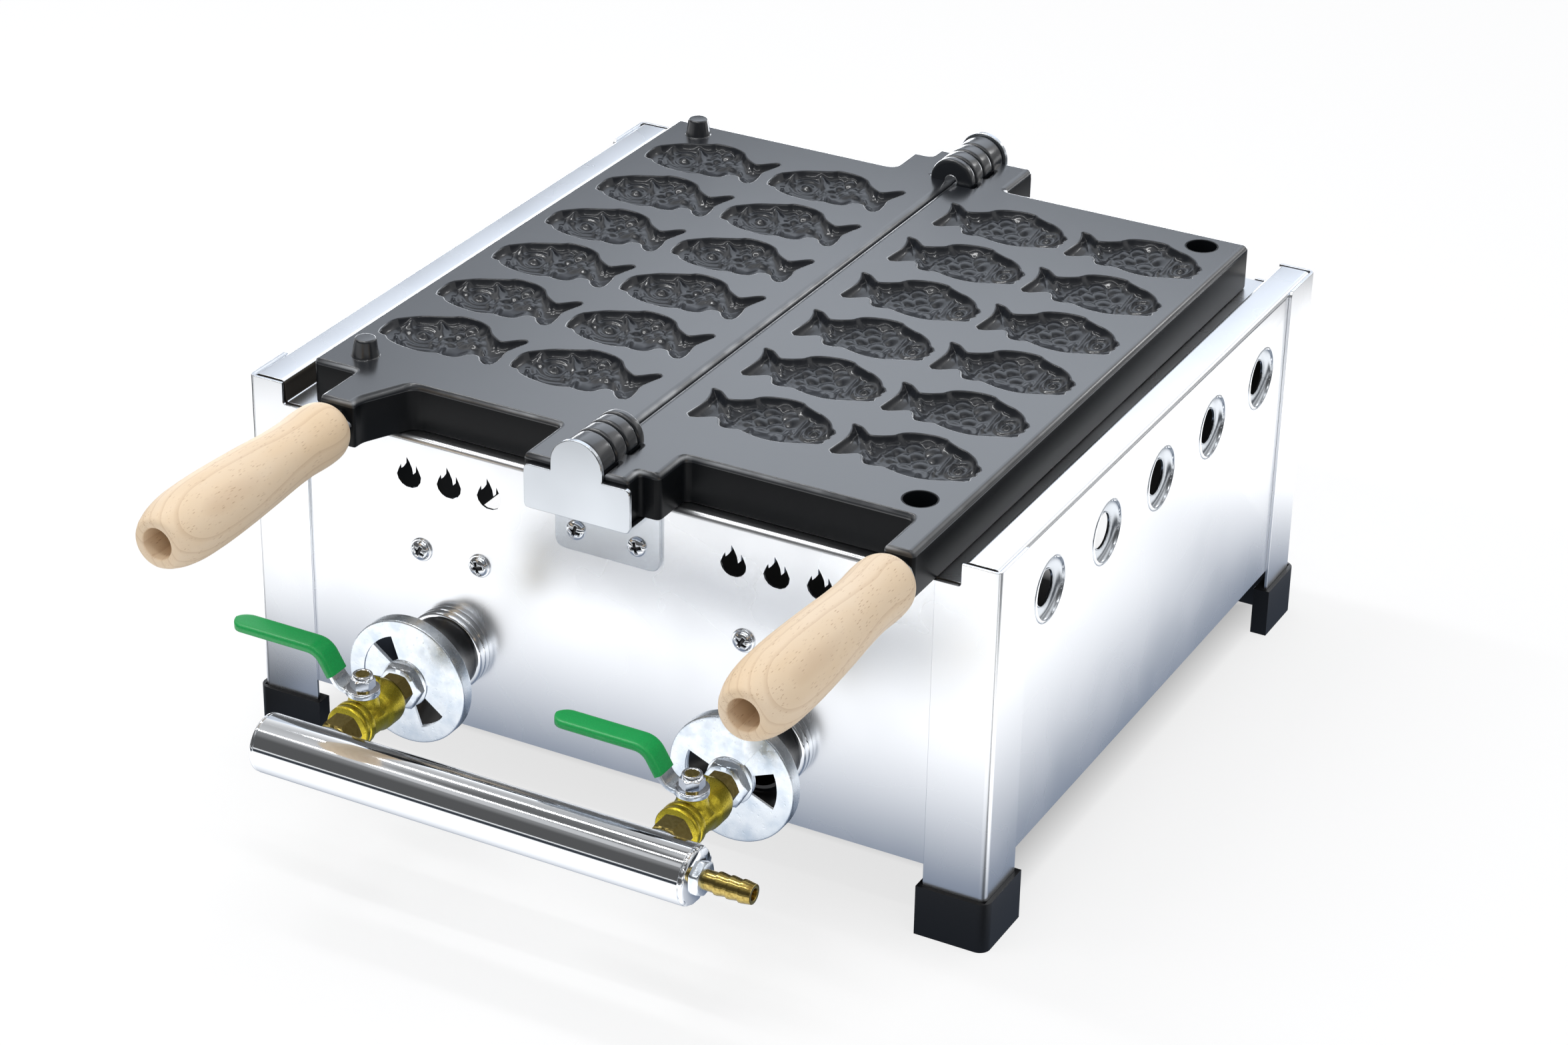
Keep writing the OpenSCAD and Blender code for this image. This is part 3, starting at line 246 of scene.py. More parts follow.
def bright_chrome(name, colour, roughness):
    """Chrome plate on drawn tube: a mirror with only faint drawing marks."""
    material, add, shader, place = blank(name, colour, 1, roughness)
    skin(add, shader, add("Mapping", {"Vector": place, "Scale": (0.1, 1, 1)}), 5, 2, 0.02, 0.12)
    return material


def cast_skin(name, colour, dark, roughness, grain, depth):
    """Sand-cast brass: grainy skin, darker and duller in its pits."""
    material, add, shader, place = blank(name, colour, 1, roughness)
    layered(add, dark, (patches(add, place, grain, 4, 0.34, 0.58), colour), to=shader["Base Color"])
    patches(add, place, grain, 4, 0.3, 0.7, roughness * 1.3, roughness * 0.75, to=shader["Roughness"])
    skin(add, shader, place, grain, 4, depth, 0.8)
    return material


def turned_beech(name, colour, dark, heart):
    """Beech turned on a lathe: pale, with yearly rings round a heart outside the grip, and short dark rays."""
    material, add, shader, place = blank(name, colour, 0, 0.5, IOR=1.45)
    log = add("Mapping", {"Vector": place, "Location": [-c * MM for c in heart], "Rotation": (0.03, 0.0, 0.02)})
    # A wave's period is a tenth of pi over its scale: the rings are about 5 mm apart
    rings = add("TexWave", {"Vector": log, "Scale": np.pi / 10 * per(5), "Distortion": 2.2, "Detail": 2.0,
                            "Detail Scale": 0.25}, wave_type="RINGS", rings_direction="Y", wave_profile="SAW")
    # Rays are 2 to 3 mm long and a third of a millimetre wide
    lay = add("Mapping", {"Vector": place, "Rotation": (0.0, 0.0, 0.12), "Scale": (1, 0.16, 1)})
    rays = add("TexVoronoi", {"Vector": lay, "Scale": per(1.0)}, feature="F1")
    fleck = add("Math", [add("MapRange", [rays, 0.08, 0.32, 0.75, 0.0]), patches(add, place, 8, 2, 0.44, 0.6)],
                operation="MULTIPLY")
    along = add("Mapping", {"Vector": place, "Scale": (1, 0.3, 1)})
    layered(add, colour, (patches(add, along, 26, 3, 0.32, 0.7, 0.0, 0.6), linear("#e9cba3")),
            (add("MapRange", [rings, 0.72, 1.0, 0.0, 0.26]), dark), (fleck, dark), to=shader["Base Color"])
    skin(add, shader, add("Mapping", {"Vector": place, "Scale": (1, 0.1, 1)}), 0.9, 3, 0.06, 0.3)
    return material


def grained_polymer(name, colour, roughness, grain, depth, spread=0.15):
    """Moulded rubber, dipped vinyl or stove paint: an even tone that varies a little, with its own grain."""
    material, add, shader, place = blank(name, colour, 0, roughness, IOR=1.5)
    layered(add, scaled_colour(colour, 1 - spread),
            (patches(add, place, 0.8, 3, 0.35, 0.65), scaled_colour(colour, 1 + spread)), to=shader["Base Color"])
    skin(add, shader, place, grain, 3, depth, 0.35)
    return material


FINISHES = {}


def make_finishes():
    c = bpy.context.scene.taiyaki_colours
    FINISHES.update(
        coating=coated("release_coating", c.coating, 0.28, 0.9, 0.03, Coat_Weight=1.0, Coat_Roughness=0.18),
        # Darker, duller copy of the coating: painted shade on walls, underside, saddles and sockets
        wall=coated("shaded_wall_coating", c.wall, 0.36, 0.9, 0.03, Specular_IOR_Level=0.14),
        cavity=coated("mould_coating", c.cavity, 0.3, 3.0, 0.3, Specular_IOR_Level=0.3, Coat_Weight=0.42,
                      Coat_Roughness=0.06),
        sheet=polished_sheet("stainless_sheet", c.sheet, 0.27, 0.8),
        bracket=polished_sheet("stainless_bracket", c.bracket, 0.24, 0.5),
        # Darker copy of the sheet: partly heat tint, partly painted shade
        scorched=polished_sheet("scorched_sheet", c.scorched, 0.6, 2.0),
        zinc=zinc_plate("zinc_plate", c.zinc, 0.27),
        chrome=bright_chrome("chrome_plate", c.chrome, 0.07),
        # Grit of a sand casting is under half a millimetre and is drawn coarser to show
        cast_brass=cast_skin("cast_brass", c.cast_brass, linear("#b5a232"), 0.3, 0.7, 0.08),
        dull_brass=cast_skin("machined_brass", c.dull_brass, linear("#a08b4c"), 0.2, 2.0, 0.02),
        black_paint=grained_polymer("stove_paint", c.black_paint, 0.24, 1.6, 0.06),
        rubber=grained_polymer("moulded_rubber", c.rubber, 0.42, 1.2, 0.06),
        vinyl=grained_polymer("dipped_vinyl", c.vinyl, 0.3, 6.0, 0.1, 0.12),
    )
    for s, (low, high) in GRIP.items():
        # The heart lies 90 mm behind the side that faces forward and up
        heart = ((low[0] + high[0]) / 2 - 61, 0, (low[2] + high[2]) / 2 - 66)
        FINISHES["left_beech" if s < 0 else "right_beech"] = turned_beech(
            "turned_beech", c.beech, c.beech_dark, heart + ORIGIN)


# Surfaces. A part is (points, faces, finish index)

def grid(points, wrap_u=False, wrap_v=False, index=0):
    """Quads over an array of points [u, v, xyz]; a wrapped side is joined to its start."""
    nu, nv = points.shape[:2]
    ids = np.arange(nu * nv).reshape(nu, nv)
    if wrap_u:
        ids = np.vstack([ids, ids[:1]])
    if wrap_v:
        ids = np.hstack([ids, ids[:, :1]])
    quads = np.stack([ids[:-1, :-1], ids[1:, :-1], ids[1:, 1:], ids[:-1, 1:]], -1).reshape(-1, 4)
    return points.reshape(-1, 3), quads.tolist(), index


def eased(before, corner, after, radius, reach, steps):
    """Quadratic curve round a corner, from one radius before it, or the reach's share of the shorter side."""
    t = np.linspace(0, 1, steps)[:, None]
    a, b = before - corner, after - corner
    la, lb = np.linalg.norm(a), np.linalg.norm(b)
    r = min(radius, la * reach, lb * reach)
    return (1 - t) ** 2 * (corner + a / la * r) + 2 * t * (1 - t) * corner + t ** 2 * (corner + b / lb * r)


def filleted(points, radii, steps=5):
    """A polyline whose inner corners are eased by their radii."""
    points = np.array(points, float)
    radii = np.broadcast_to(radii, len(points))
    inner = [eased(before, corner, after, r, 0.49, steps) if r > 0 else corner[None]
             for before, corner, after, r in zip(points[:-2], points[1:-1], points[2:], radii[1:-1])]
    return np.vstack([points[:1], *inner, points[-1:]])


def around(steps):
    """Points of the unit circle, counter-clockwise."""
    a = np.arange(steps) / steps * 2 * np.pi
    return np.stack([np.cos(a), np.sin(a)], 1)


# Which of two coordinates across an axis and the one along it becomes x, y and z
AXES = {"x": (2, 0, 1), "y": (1, 2, 0), "z": (0, 1, 2)}


def points_from(first, second, third, axis="z"):
    """Points from three arrays that broadcast together: two coordinates across the axis and one along it."""
    return np.stack(np.broadcast_arrays(first, second, third), -1).astype(float)[..., AXES[axis]]


def turned(profile, centre, axis="y", steps=72, closed=False, index=0, shape=None):
    """A profile of [place along the axis, radius] turned about the axis through centre.
    With a shape, the radius is the lesser of the profile's and shape(angle)."""
    profile = np.array(profile, float)
    angle = np.arange(steps) / steps * 2 * np.pi
    radius = np.minimum(profile[:, 1:], shape(angle)) if shape else profile[:, 1:]
    points = points_from(radius * np.cos(angle), radius * np.sin(angle), profile[:, :1], axis)
    return grid(points + np.array(centre, float), wrap_v=True, wrap_u=closed, index=index)


def lathe(corners, centre, axis="y", steps=72, closed=True, index=0, fine=5):
    """Corners [place along the axis, radius, rounding] turned about the axis."""
    corners = np.array(corners, float)
    return turned(filleted(corners[:, :2], corners[:, 2], fine), centre, axis, steps, closed, index)


def six_sided(across):
    """Distance from the middle to a hexagon's side, by angle: half the flats over the cosine to the flat."""
    return lambda angle: across / 2 / np.cos((angle + np.pi / 6) % (np.pi / 3) - np.pi / 6)


def hexed(centre, axis, a, b, across, bore, index=0):
    """Hexagon from a to b with both ends chamfered by a cone, and a bore."""
    corner, flat = across / 2 / np.cos(np.pi / 6), across / 2 * 0.96
    share = np.linspace(0, 1, 5)
    lead = (corner - flat) * 0.6 * share
    radius = flat + (corner - flat) * share
    profile = np.vstack([[[a, bore]], np.stack([a + lead, radius], 1), np.stack([b - lead, radius], 1)[::-1],
                         [[b, bore]]])
    return turned(profile, centre, axis, 72, True, index, six_sided(across))


def capped(outline, holes, height, index=0, axis="z", flip=False):
    """A flat sheet inside an outline and outside its holes, by Delaunay triangles between their points."""
    loops = [np.array(outline)] + [np.array(h) for h in holes]
    points, edges = [], []
    for loop in loops:
        start = len(points)
        points += [Vector(p) for p in loop]
        edges += [(start + i, start + (i + 1) % len(loop)) for i in range(len(loop))]
    found = delaunay_2d_cdt(points, edges, [], 1, 1e-5)
    flat = np.array([tuple(p) for p in found[0]])
    faces = np.array([f for f in found[2] if len(f) == 3])
    middle = flat[faces].mean(1)
    keep = inside(middle, loops[0])
    for hole in loops[1:]:
        keep &= ~inside(middle, hole)
    faces = faces[keep]
    if flip:
        faces = faces[:, ::-1]
    return points_from(*flat.T, height, axis), faces.tolist(), index


def inside(points, loop):
    """Even-odd test of points against a closed outline."""
    a, b = loop, np.roll(loop, -1, 0)
    x, y = points[:, :1], points[:, 1:]
    cross = (a[:, 1] > y) != (b[:, 1] > y)
    rise = np.where(b[:, 1] == a[:, 1], 1, b[:, 1] - a[:, 1])
    hit = x < (b[:, 0] - a[:, 0]) * (y - a[:, 1]) / rise + a[:, 0]
    return (cross & hit).sum(1) % 2 == 1


def mirrored(part, s):
    """The part as it is, or its mirror image at -x with its faces turned round."""
    if s > 0:
        return part
    points, faces, index = part
    return points * [-1, 1, 1], [f[::-1] for f in faces], index


def shifted(part, by):
    return part[0] + np.array(by, float), part[1], part[2]


def rest_on(name, mesh, node_name, sharp):
    """Shades a mesh and makes it the piece that rides and stands in for a CAD node."""
    mesh.shade_smooth()
    mesh.set_sharp_from_angle(angle=np.radians(sharp))
    made = bpy.data.objects.new(name, mesh)
    bpy.context.scene.collection.objects.link(made)
    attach(made, BODY_OF[node_name])
    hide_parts(node_name)
    return made


def piece(name, parts, finishes, replaced, sharp=32, closed=True, wear_and_highlight=None, reflected=True):
    """Joins parts to one mesh at the origin and merges their doubles; the edge mark, partly wear and partly a painted
    highlight, holds values by part number.
    A piece that isn't reflected leaves no blot in the polished sheet behind it."""
    finishes = [finishes] if isinstance(finishes, str) else finishes
    points, faces, indices, marks, start = [], [], [], [], 0
    for number, (p, f, index) in enumerate(parts):
        points.append(p)
        faces += [[i + start for i in face] for face in f]
        indices += [index] * len(f)
        marks.append(wear_and_highlight.get(number, np.zeros(len(p))) if wear_and_highlight else [])
        start += len(p)
    mesh = bpy.data.meshes.new(name)
    mesh.from_pydata(((np.vstack(points) + ORIGIN) * MM).tolist(), [], faces)
    for finish in finishes:
        mesh.materials.append(FINISHES[finish])
    mesh.polygons.foreach_set("material_index", indices)
    if wear_and_highlight:
        mesh.attributes.new("wear_and_highlight", "FLOAT", "POINT").data.foreach_set("value", np.concatenate(marks))
    tidy = bmesh.new()
    tidy.from_mesh(mesh)
    bmesh.ops.remove_doubles(tidy, verts=tidy.verts, dist=DOUBLE * MM)
    bmesh.ops.dissolve_degenerate(tidy, edges=tidy.edges, dist=DOUBLE / 2 * MM)
    if closed:
        bmesh.ops.recalc_face_normals(tidy, faces=tidy.faces)
    tidy.to_mesh(mesh)
    tidy.free()
    made = rest_on(name, mesh, replaced, sharp)
    made.visible_glossy = reflected


def dressed(name, node_name, finish, width, inner=None, cut=None, ends=False):
    """A CAD node's merged copy with its flat faces joined and its edges rounded. Faces that look to the middle of the
    body or down take the inner finish, a darker sheet that is partly heat tint and partly painted shade, and so do
    cut ends that look along y if ends is set; faces whose middles pass the cut are left out."""
    mesh = frame["nodes"][node_name].data.copy()
    mesh.materials.clear()
    for used in (finish, inner):
        if used:
            mesh.materials.append(FINISHES[used])
    tidy = bmesh.new()
    tidy.from_mesh(mesh)
    bmesh.ops.remove_doubles(tidy, verts=tidy.verts, dist=DOUBLE * MM)
    if cut:
        gone = [f for f in tidy.faces if cut(np.array(f.calc_center_median()) / MM - ORIGIN)]
        bmesh.ops.delete(tidy, geom=gone, context="FACES")
    bmesh.ops.dissolve_limit(tidy, angle_limit=np.radians(0.4), verts=tidy.verts, edges=tidy.edges)
    # Inner, downward and end faces take the darker inner finish: partly heat tint, partly painted shade
    if inner:
        middle = (ORIGIN + MIDDLE) * MM
        for face in tidy.faces:
            away = np.array(face.calc_center_median()) - middle
            normal = np.array(face.normal)
            wall = max(abs(normal[0]), abs(normal[1])) > 0.7
            face.material_index = int(wall and normal[:2] @ away[:2] < 0 or normal[2] < -0.7
                                      or ends and abs(normal[1]) > 0.7)
    tidy.to_mesh(mesh)
    tidy.free()
    rounding = rest_on(name, mesh, node_name, 32).modifiers.new("rounding", "BEVEL")
    rounding.width = width * MM
    rounding.segments = 2
    rounding.limit_method = "ANGLE"
    rounding.angle_limit = np.radians(30)
    rounding.harden_normals = True


def kept(finish, *names):
    """CAD nodes whose shape is right get their finish."""
    for name in names:
        mesh = frame["nodes"][name].data
        mesh.materials.clear()
        mesh.materials.append(FINISHES[finish])
        mesh.shade_smooth()


# Places taken from the frame
PLATE_LOW, PLATE_HIGH = span("left_plate")
GRIP = {s: span(f"{side}_handle_grip") for s, side in SIDES}
ROD = {s: span(f"{side}_handle_rod") for s, side in SIDES}
KNUCKLE_R = PLATE_HIGH[0]
AXIS_Z = PLATE_HIGH[2] - KNUCKLE_R
EDGE = -PLATE_LOW[0]
TOP = AXIS_Z - 0.25
LOW = PLATE_LOW[2]
# Front and rear edge of the plates, and their clearance to the hinge line
FRONT, REAR, INNER = 11.5, 452.5, 0.4
# Middle of the stand, and places of the knuckles along it from the front
MIDDLE = np.array([0, (FRONT + REAR) / 2, 150])
KNUCKLES = ((-31.5, -15.3), (-14.7, -2.3), (-1.7, 9.7), (10.3, 17.2))
KNUCKLE_END, KNUCKLE_PLAY, SADDLE_R, PIN_R = -31.5, 0.6, 16.1, 5.08
LUG_FRONT = -28.0
DOWEL_X, DOWEL_YS, SOCKET_R = 185.0, (30.0, 434.0), 10.9
VENT_PITCH, VENT_Z = 79.4, 203.5


def outline_corners(s):
    """Corners [x, y, radius] of a plate seen from above, its outer side at +x. The hinge side steps back
    round the other plate's knuckles."""
    def hinge_end(long, own_from):
        """Hinge side of the front end; the rear end is its mirror image."""
        inner = []
        for number, (y0, y1) in reversed(list(enumerate(KNUCKLES))):
            if number % 2 == own_from:
                low = KNUCKLE_END if number == 0 else y0 - KNUCKLE_PLAY
                inner += [(INNER, y1 + KNUCKLE_PLAY, 0.6), (SADDLE_R, y1 + KNUCKLE_PLAY, 1),
                          (SADDLE_R, low, 1 if number else 0.8)] + [(INNER, low, 0.6)] * (number > 0)
        if own_from:
            inner.append((INNER, KNUCKLE_END, 0.8))
        lug = [(37, KNUCKLE_END, 3), (37, FRONT, 5)] if long else \
            [(32, KNUCKLE_END, 3), (32, -18, 3), (45, -18, 4), (45, FRONT, 5)]
        return inner + lug

    if s < 0:
        handle = [(139, FRONT, 6), (155, -20, 4), (155, LUG_FRONT, 2), (179, LUG_FRONT, 3), (179, FRONT, 4),
                  (EDGE, FRONT, 4)]
    else:
        handle = [(191.4, FRONT, 6), (191.4, LUG_FRONT, 2), (EDGE, LUG_FRONT, 3)]
    rear = [(x, FRONT + REAR - y, r) for x, y, r in hinge_end(s > 0, int(s > 0))]
    return np.array(hinge_end(s < 0, int(s < 0)) + handle + [(EDGE, REAR, 4)] + rear[::-1], float)


def inset_ring(corners, by, steps=5):
    """The outline moved inwards by a distance per edge, its corners rounded to match."""
    p = corners[:, :2]
    forward = np.roll(p, -1, 0) - p
    forward /= np.linalg.norm(forward, axis=1)[:, None]
    inward = np.stack([-forward[:, 1], forward[:, 0]], 1)
    n1, n2 = np.roll(inward, 1, 0), inward
    d1, d2 = np.roll(by, 1)[:, None], by[:, None]
    c = (n1 * n2).sum(1)[:, None]
    moved = p + (d1 * (n1 - c * n2) + d2 * (n2 - c * n1)) / (1 - c * c)
    f1 = np.roll(forward, 1, 0)
    turn = f1[:, 0] * forward[:, 1] - f1[:, 1] * forward[:, 0]
    radius = np.maximum(corners[:, 2] - np.sign(turn) * (d1 + d2)[:, 0] / 2, 0.15)
    return np.vstack([eased(before, corner, after, r, 0.45, steps) for before, corner, after, r in
                      zip(np.roll(moved, 1, 0), moved, np.roll(moved, -1, 0), radius)])


# Fish outlines with the nose to +x, in shares of length and height: top, nose, bottom, tail end
FISH = {
    1: {
        "size": (91.9, 55.4),
        "top": [(-.483, .326), (-.42, .296), (-.374, .236), (-.334, .179), (-.302, .183), (-.248, .229),
                (-.193, .296), (-.17, .371), (-.12, .432), (-.048, .474), (.034, .496), (.115, .484),
                (.16, .432), (.233, .371), (.306, .326), (.378, .244), (.419, .168), (.4415, .108),
                (.473, .071)],
        "nose": [(.469, -.305), (.491, -.253), (.482, -.19), (.50, -.125), (.487, -.065), (.496, .003),
                 (.473, .071)],
        "bottom": [(-.424, -.418), (-.374, -.395), (-.32, -.335), (-.275, -.29), (-.243, -.313),
                   (-.22, -.395), (-.184, -.456), (-.12, -.456), (-.062, -.426), (.006, -.456),
                   (.079, -.481), (.17, -.486), (.26, -.456), (.333, -.403), (.405, -.35), (.469, -.305)],
        "tail": [(-.424, -.418), (-.46, -.358), (-.46, -.283), (-.451, -.102), (-.451, .048),
                 (-.474, .198), (-.497, .289), (-.483, .326)],
    },
    -1: {
        "size": (89.9, 56.3),
        "top": [(-.489, .299), (-.457, .329), (-.41, .284), (-.355, .196), (-.3225, .169), (-.29, .188),
                (-.216, .27), (-.179, .336), (-.142, .403), (-.068, .462), (.025, .492), (.118, .484),
                (.164, .433), (.247, .366), (.34, .292), (.405, .21), (.479, .092)],
        "nose": [(.47, -.3155), (.493, -.204), (.4995, -.012), (.479, .092)],
        "bottom": [(-.457, -.397), (-.41, -.419), (-.355, -.367), (-.318, -.293), (-.272, -.286),
                   (-.239, -.323), (-.216, -.397), (-.17, -.4415), (-.105, -.453), (-.0445, -.4415),
                   (.016, -.4785), (.099, -.498), (.22, -.4785), (.294, -.449), (.359, -.404),
                   (.40, -.345), (.433, -.338), (.47, -.3155)],
        "tail": [(-.457, -.397), (-.471, -.308), (-.4615, -.16), (-.4476, -.0415), (-.466, .092),
                 (-.494, .24), (-.489, .299)],
    },
}
FISH_IN, FISH_COLUMN, FISH_FRONT, FISH_ROW = 61.3, 93.3, 78.0, 64.2

# Relief inside a mould, in millimetres from the fish's middle, nose to +x:
# ridges [x0, y0, x1, y1, width, height], domes [x, y, radius, height],
# rings [x, y, radius, width, height], and bumps [x range, y range, pitch, height] for the scales
RELIEF = {
    -1: {
        "ridges": [(37, -5, 29, -19, 1.4, 1.8), (29, -10, 20, -26, 1.3, 1.8), (37, 13, 33, 3, 2.4, 2.4),
                   (20, 19, 11, 6, 1.8, 2.8), (11, 6, 5, -8, 1.5, 1.6), (15, 3, 11, -6, 1.6, 2.0),
                   (6, 0, 0, -15, 1.5, 2.2), (0, -15, -3, -25, 1.3, 1.8), (-20, 14, -25, 6, 1.6, 2.2),
                   (-25, 12, -29, 5, 1.3, 1.6), (-19, 4, -24, -3, 1.5, 2.0), (-23, -2, -32, -9, 1.6, 1.6)],
        "domes": [(22.9, 4.6, 4.4, 3.4), (-12, 6, 7.5, 2.6), (-13, -3, 5.0, 1.8), (-34, 16, 8, 1.0),
                  (-32, -14, 8, 1.0), (7, -16, 8, 0.8)],
        "rings": [(22.9, 4.6, 8.2, 1.7, 1.2), (22.9, 4.6, 13.4, 2.2, 1.3)],
        "bumps": [(-14, 9), (3, 27), 7.8, 2.1],
    },
    1: {
        "ridges": [(19, 17, 19, -4, 1.4, 1.8), (23, 14, 24, 1, 1.2, 1.4), (15, 5, 18, -12, 1.5, 1.8),
                   (18, -12, 15, -24, 1.4, 1.6), (9, -5, 14, -21, 1.4, 1.2), (-9, -2, -4, -13, 1.6, 1.4),
                   (-26, 17, -21, 9, 1.3, 1.8), (-30, 8, -25, 1, 1.7, 2.0), (-29, -1, -23, -7, 1.7, 2.0),
                   (-18, 1, -16, -8, 1.5, 1.6), (-37, 9, -38, -12, 3.0, 1.2), (34, -11, 25, -19, 1.4, 1.2)],
        "domes": [(29.2, 4.6, 3.4, 3.2), (15.7, -3, 4, 1.4), (36, -7, 5, 1.0), (2, -12, 9, 1.0)],
        "rings": [(29.2, 4.6, 7.0, 1.5, 1.7)],
        "bumps": [(-17, 12), (-3, 27), 9.4, 2.0],
    },
}


def smooth_curve(points, samples=400):
    """Catmull-Rom curve through the points, sampled evenly in its parameter."""
    p = np.array(points, float)
    p = np.vstack([2 * p[0] - p[1], p, 2 * p[-1] - p[-2]])
    t = np.linspace(0, len(points) - 1, samples)
    i = np.minimum(t.astype(int), len(points) - 2)
    f = (t - i)[:, None]
    a, b, c, d = p[i], p[i + 1], p[i + 2], p[i + 3]
    return 0.5 * (2 * b + (c - a) * f + (2 * a - 5 * b + 4 * c - d) * f ** 2 + (3 * b - a - 3 * c + d) * f ** 3)


def at_shares(curve, axis, shares):
    """Points of a curve where its coordinate along an axis has gone these shares of its way."""
    way = np.maximum.accumulate(curve[:, axis] * np.sign(curve[-1, axis] - curve[0, axis]))
    way = (way - way[0]) / (way[-1] - way[0]) + np.linspace(0, 1e-6, len(curve))
    way /= way[-1]
    return np.stack([np.interp(shares, way, curve[:, k]) for k in (0, 1)], 1)


def crowded(count, pull):
    """Shares from 0 to 1 that crowd at both ends."""
    t = np.linspace(0, 1, count)
    return (1 - pull) * t + pull * (0.5 - 0.5 * np.cos(np.pi * t))


def mould(s):
    """One fish: a Coons patch between its four edge curves, sunk by the distance to the nearest edge.
    Its depth is the soft minimum of a wall, which turns over a round rim, and of a floor with its relief."""
    sizes = bpy.context.scene.taiyaki_sizes
    data = FISH[s]
    scale = np.array(data["size"])
    top, nose, bottom, tail = (smooth_curve(np.array(data[k]) * scale) for k in ("top", "nose", "bottom", "tail"))
    u, v = crowded(sizes.columns, 0.75), crowded(sizes.rows, 0.85)
    T, B = at_shares(top, 0, u), at_shares(bottom, 0, u)
    R, L = at_shares(nose, 1, v), at_shares(tail, 1, v)
    U, V = u[:, None, None], v[None, :, None]
    patch = ((1 - V) * B[:, None] + V * T[:, None] + (1 - U) * L[None] + U * R[None]
             - (1 - U) * (1 - V) * B[0] - U * (1 - V) * B[-1] - (1 - U) * V * T[0] - U * V * T[-1])
    edge = np.vstack([B, R[1:], T[::-1][1:], L[::-1][1:-1]])
    flat = patch.reshape(-1, 2)
    away = edge_distance(flat, edge)
    steep = np.radians(sizes.steep)
    turn = sizes.rim * np.sin(steep)
    wall = np.where(away < turn, sizes.rim - np.sqrt(np.maximum(sizes.rim ** 2 - away ** 2, 0)),
                    sizes.rim * (1 - np.cos(steep)) + (away - turn) * np.tan(steep))
    floor = sizes.ledge + sizes.floor * (1 - np.exp(-(away / 12) ** 1.5)) - sizes.relief * relief(flat, RELIEF[s])
    # The higher, the narrower the turn between wall and floor
    blend = 0.95
    depth = np.maximum(-np.log(np.exp(-wall * blend) + np.exp(-floor * blend)) / blend, 0)
    depth = np.where(away < 0.01, 0, depth).reshape(patch.shape[:2])
    points = np.concatenate([patch, (TOP - depth)[..., None]], 2)
    # Rim mark, partly wear and partly a painted highlight: brightest where the rim turns over, on the side nearer the
    # front
    nearer = np.clip(1.3 - 2 * np.tile(v, len(u)), 0, 1)
    rim_wear_and_highlight = 0.75 * np.exp(-((away - 0.35) / 0.3) ** 2) * nearer
    return points, edge, rim_wear_and_highlight


def edge_distance(points, edge):
    """Distance from each point to a closed outline, in blocks."""
    a, b = edge, np.roll(edge, -1, 0)
    along = b - a
    length = (along ** 2).sum(1)
    out = []
    for block in np.array_split(points, 24):
        t = np.clip(((block[:, None] - a) * along).sum(2) / length, 0, 1)
        out.append(np.linalg.norm(block[:, None] - (a + t[..., None] * along), axis=2).min(1))
    return np.concatenate(out)


def relief(p, data):
    """Height of the raised lines, domes, rings and rows of scales at points p."""
    height = np.zeros(len(p))
    for x0, y0, x1, y1, width, rise in data["ridges"]:
        a, d = np.array([x0, y0]), np.array([x1 - x0, y1 - y0])
        t = np.clip(((p - a) @ d) / (d @ d), 0, 1)
        away = np.linalg.norm(p - a - t[:, None] * d, axis=1)
        taper = np.sin(np.pi * np.clip(t, 0.08, 0.92)) ** 0.5
        height = np.maximum(height, rise * taper * np.exp(-(away / width) ** 2))
    for x, y, radius, rise in data["domes"]:
        away = np.hypot(p[:, 0] - x, p[:, 1] - y) / radius
        height = height + rise * np.exp(-away ** 2 * 1.6)
    for x, y, radius, width, rise in data["rings"]:
        away = np.hypot(p[:, 0] - x, p[:, 1] - y)
        height = height + rise * np.exp(-((away - radius) / width) ** 2)
    return height + scale_bumps(p, *data["bumps"])


def scale_bumps(p, across, up, pitch, rise):
    """Paraboloids on staggered rows, nudged off the lattice by sines, that meet in creases."""
    row_pitch = pitch * 0.78
    best = np.zeros(len(p))
    for step_row in (-1, 0, 1):
        row = np.floor(p[:, 1] / row_pitch) + step_row
        for step_column in (-1, 0, 1):
            column = np.floor(p[:, 0] / pitch - 0.5 * (row % 2)) + step_column
            x = (column + 0.5 + 0.5 * (row % 2) + 0.26 * np.sin(12.9 * row + 7.2 * column)) * pitch
            y = (row + 0.5 + 0.26 * np.sin(39.3 * row + 11.1 * column)) * row_pitch
            best = np.maximum(best, 1 - ((p[:, 0] - x) ** 2 + (p[:, 1] - y) ** 2) / (0.6 * pitch) ** 2)
    window = 1 / (1 + np.exp(across[0] - p[:, 0])) / (1 + np.exp(p[:, 0] - across[1])) \
        / (1 + np.exp(up[0] - p[:, 1])) / (1 + np.exp(p[:, 1] - up[1]))
    return rise * window * best


def section_strip(section, y0, y1, index=0):
    """A closed section [x, z] carried along y, with both ends closed."""
    section = np.array(section, float)
    points, faces, _ = grid(points_from(section[:, 0], [[y0], [y1]], section[:, 1]), wrap_v=True)
    count = len(section)
    return points, faces + [list(range(count)), list(range(count, 2 * count))[::-1]], index


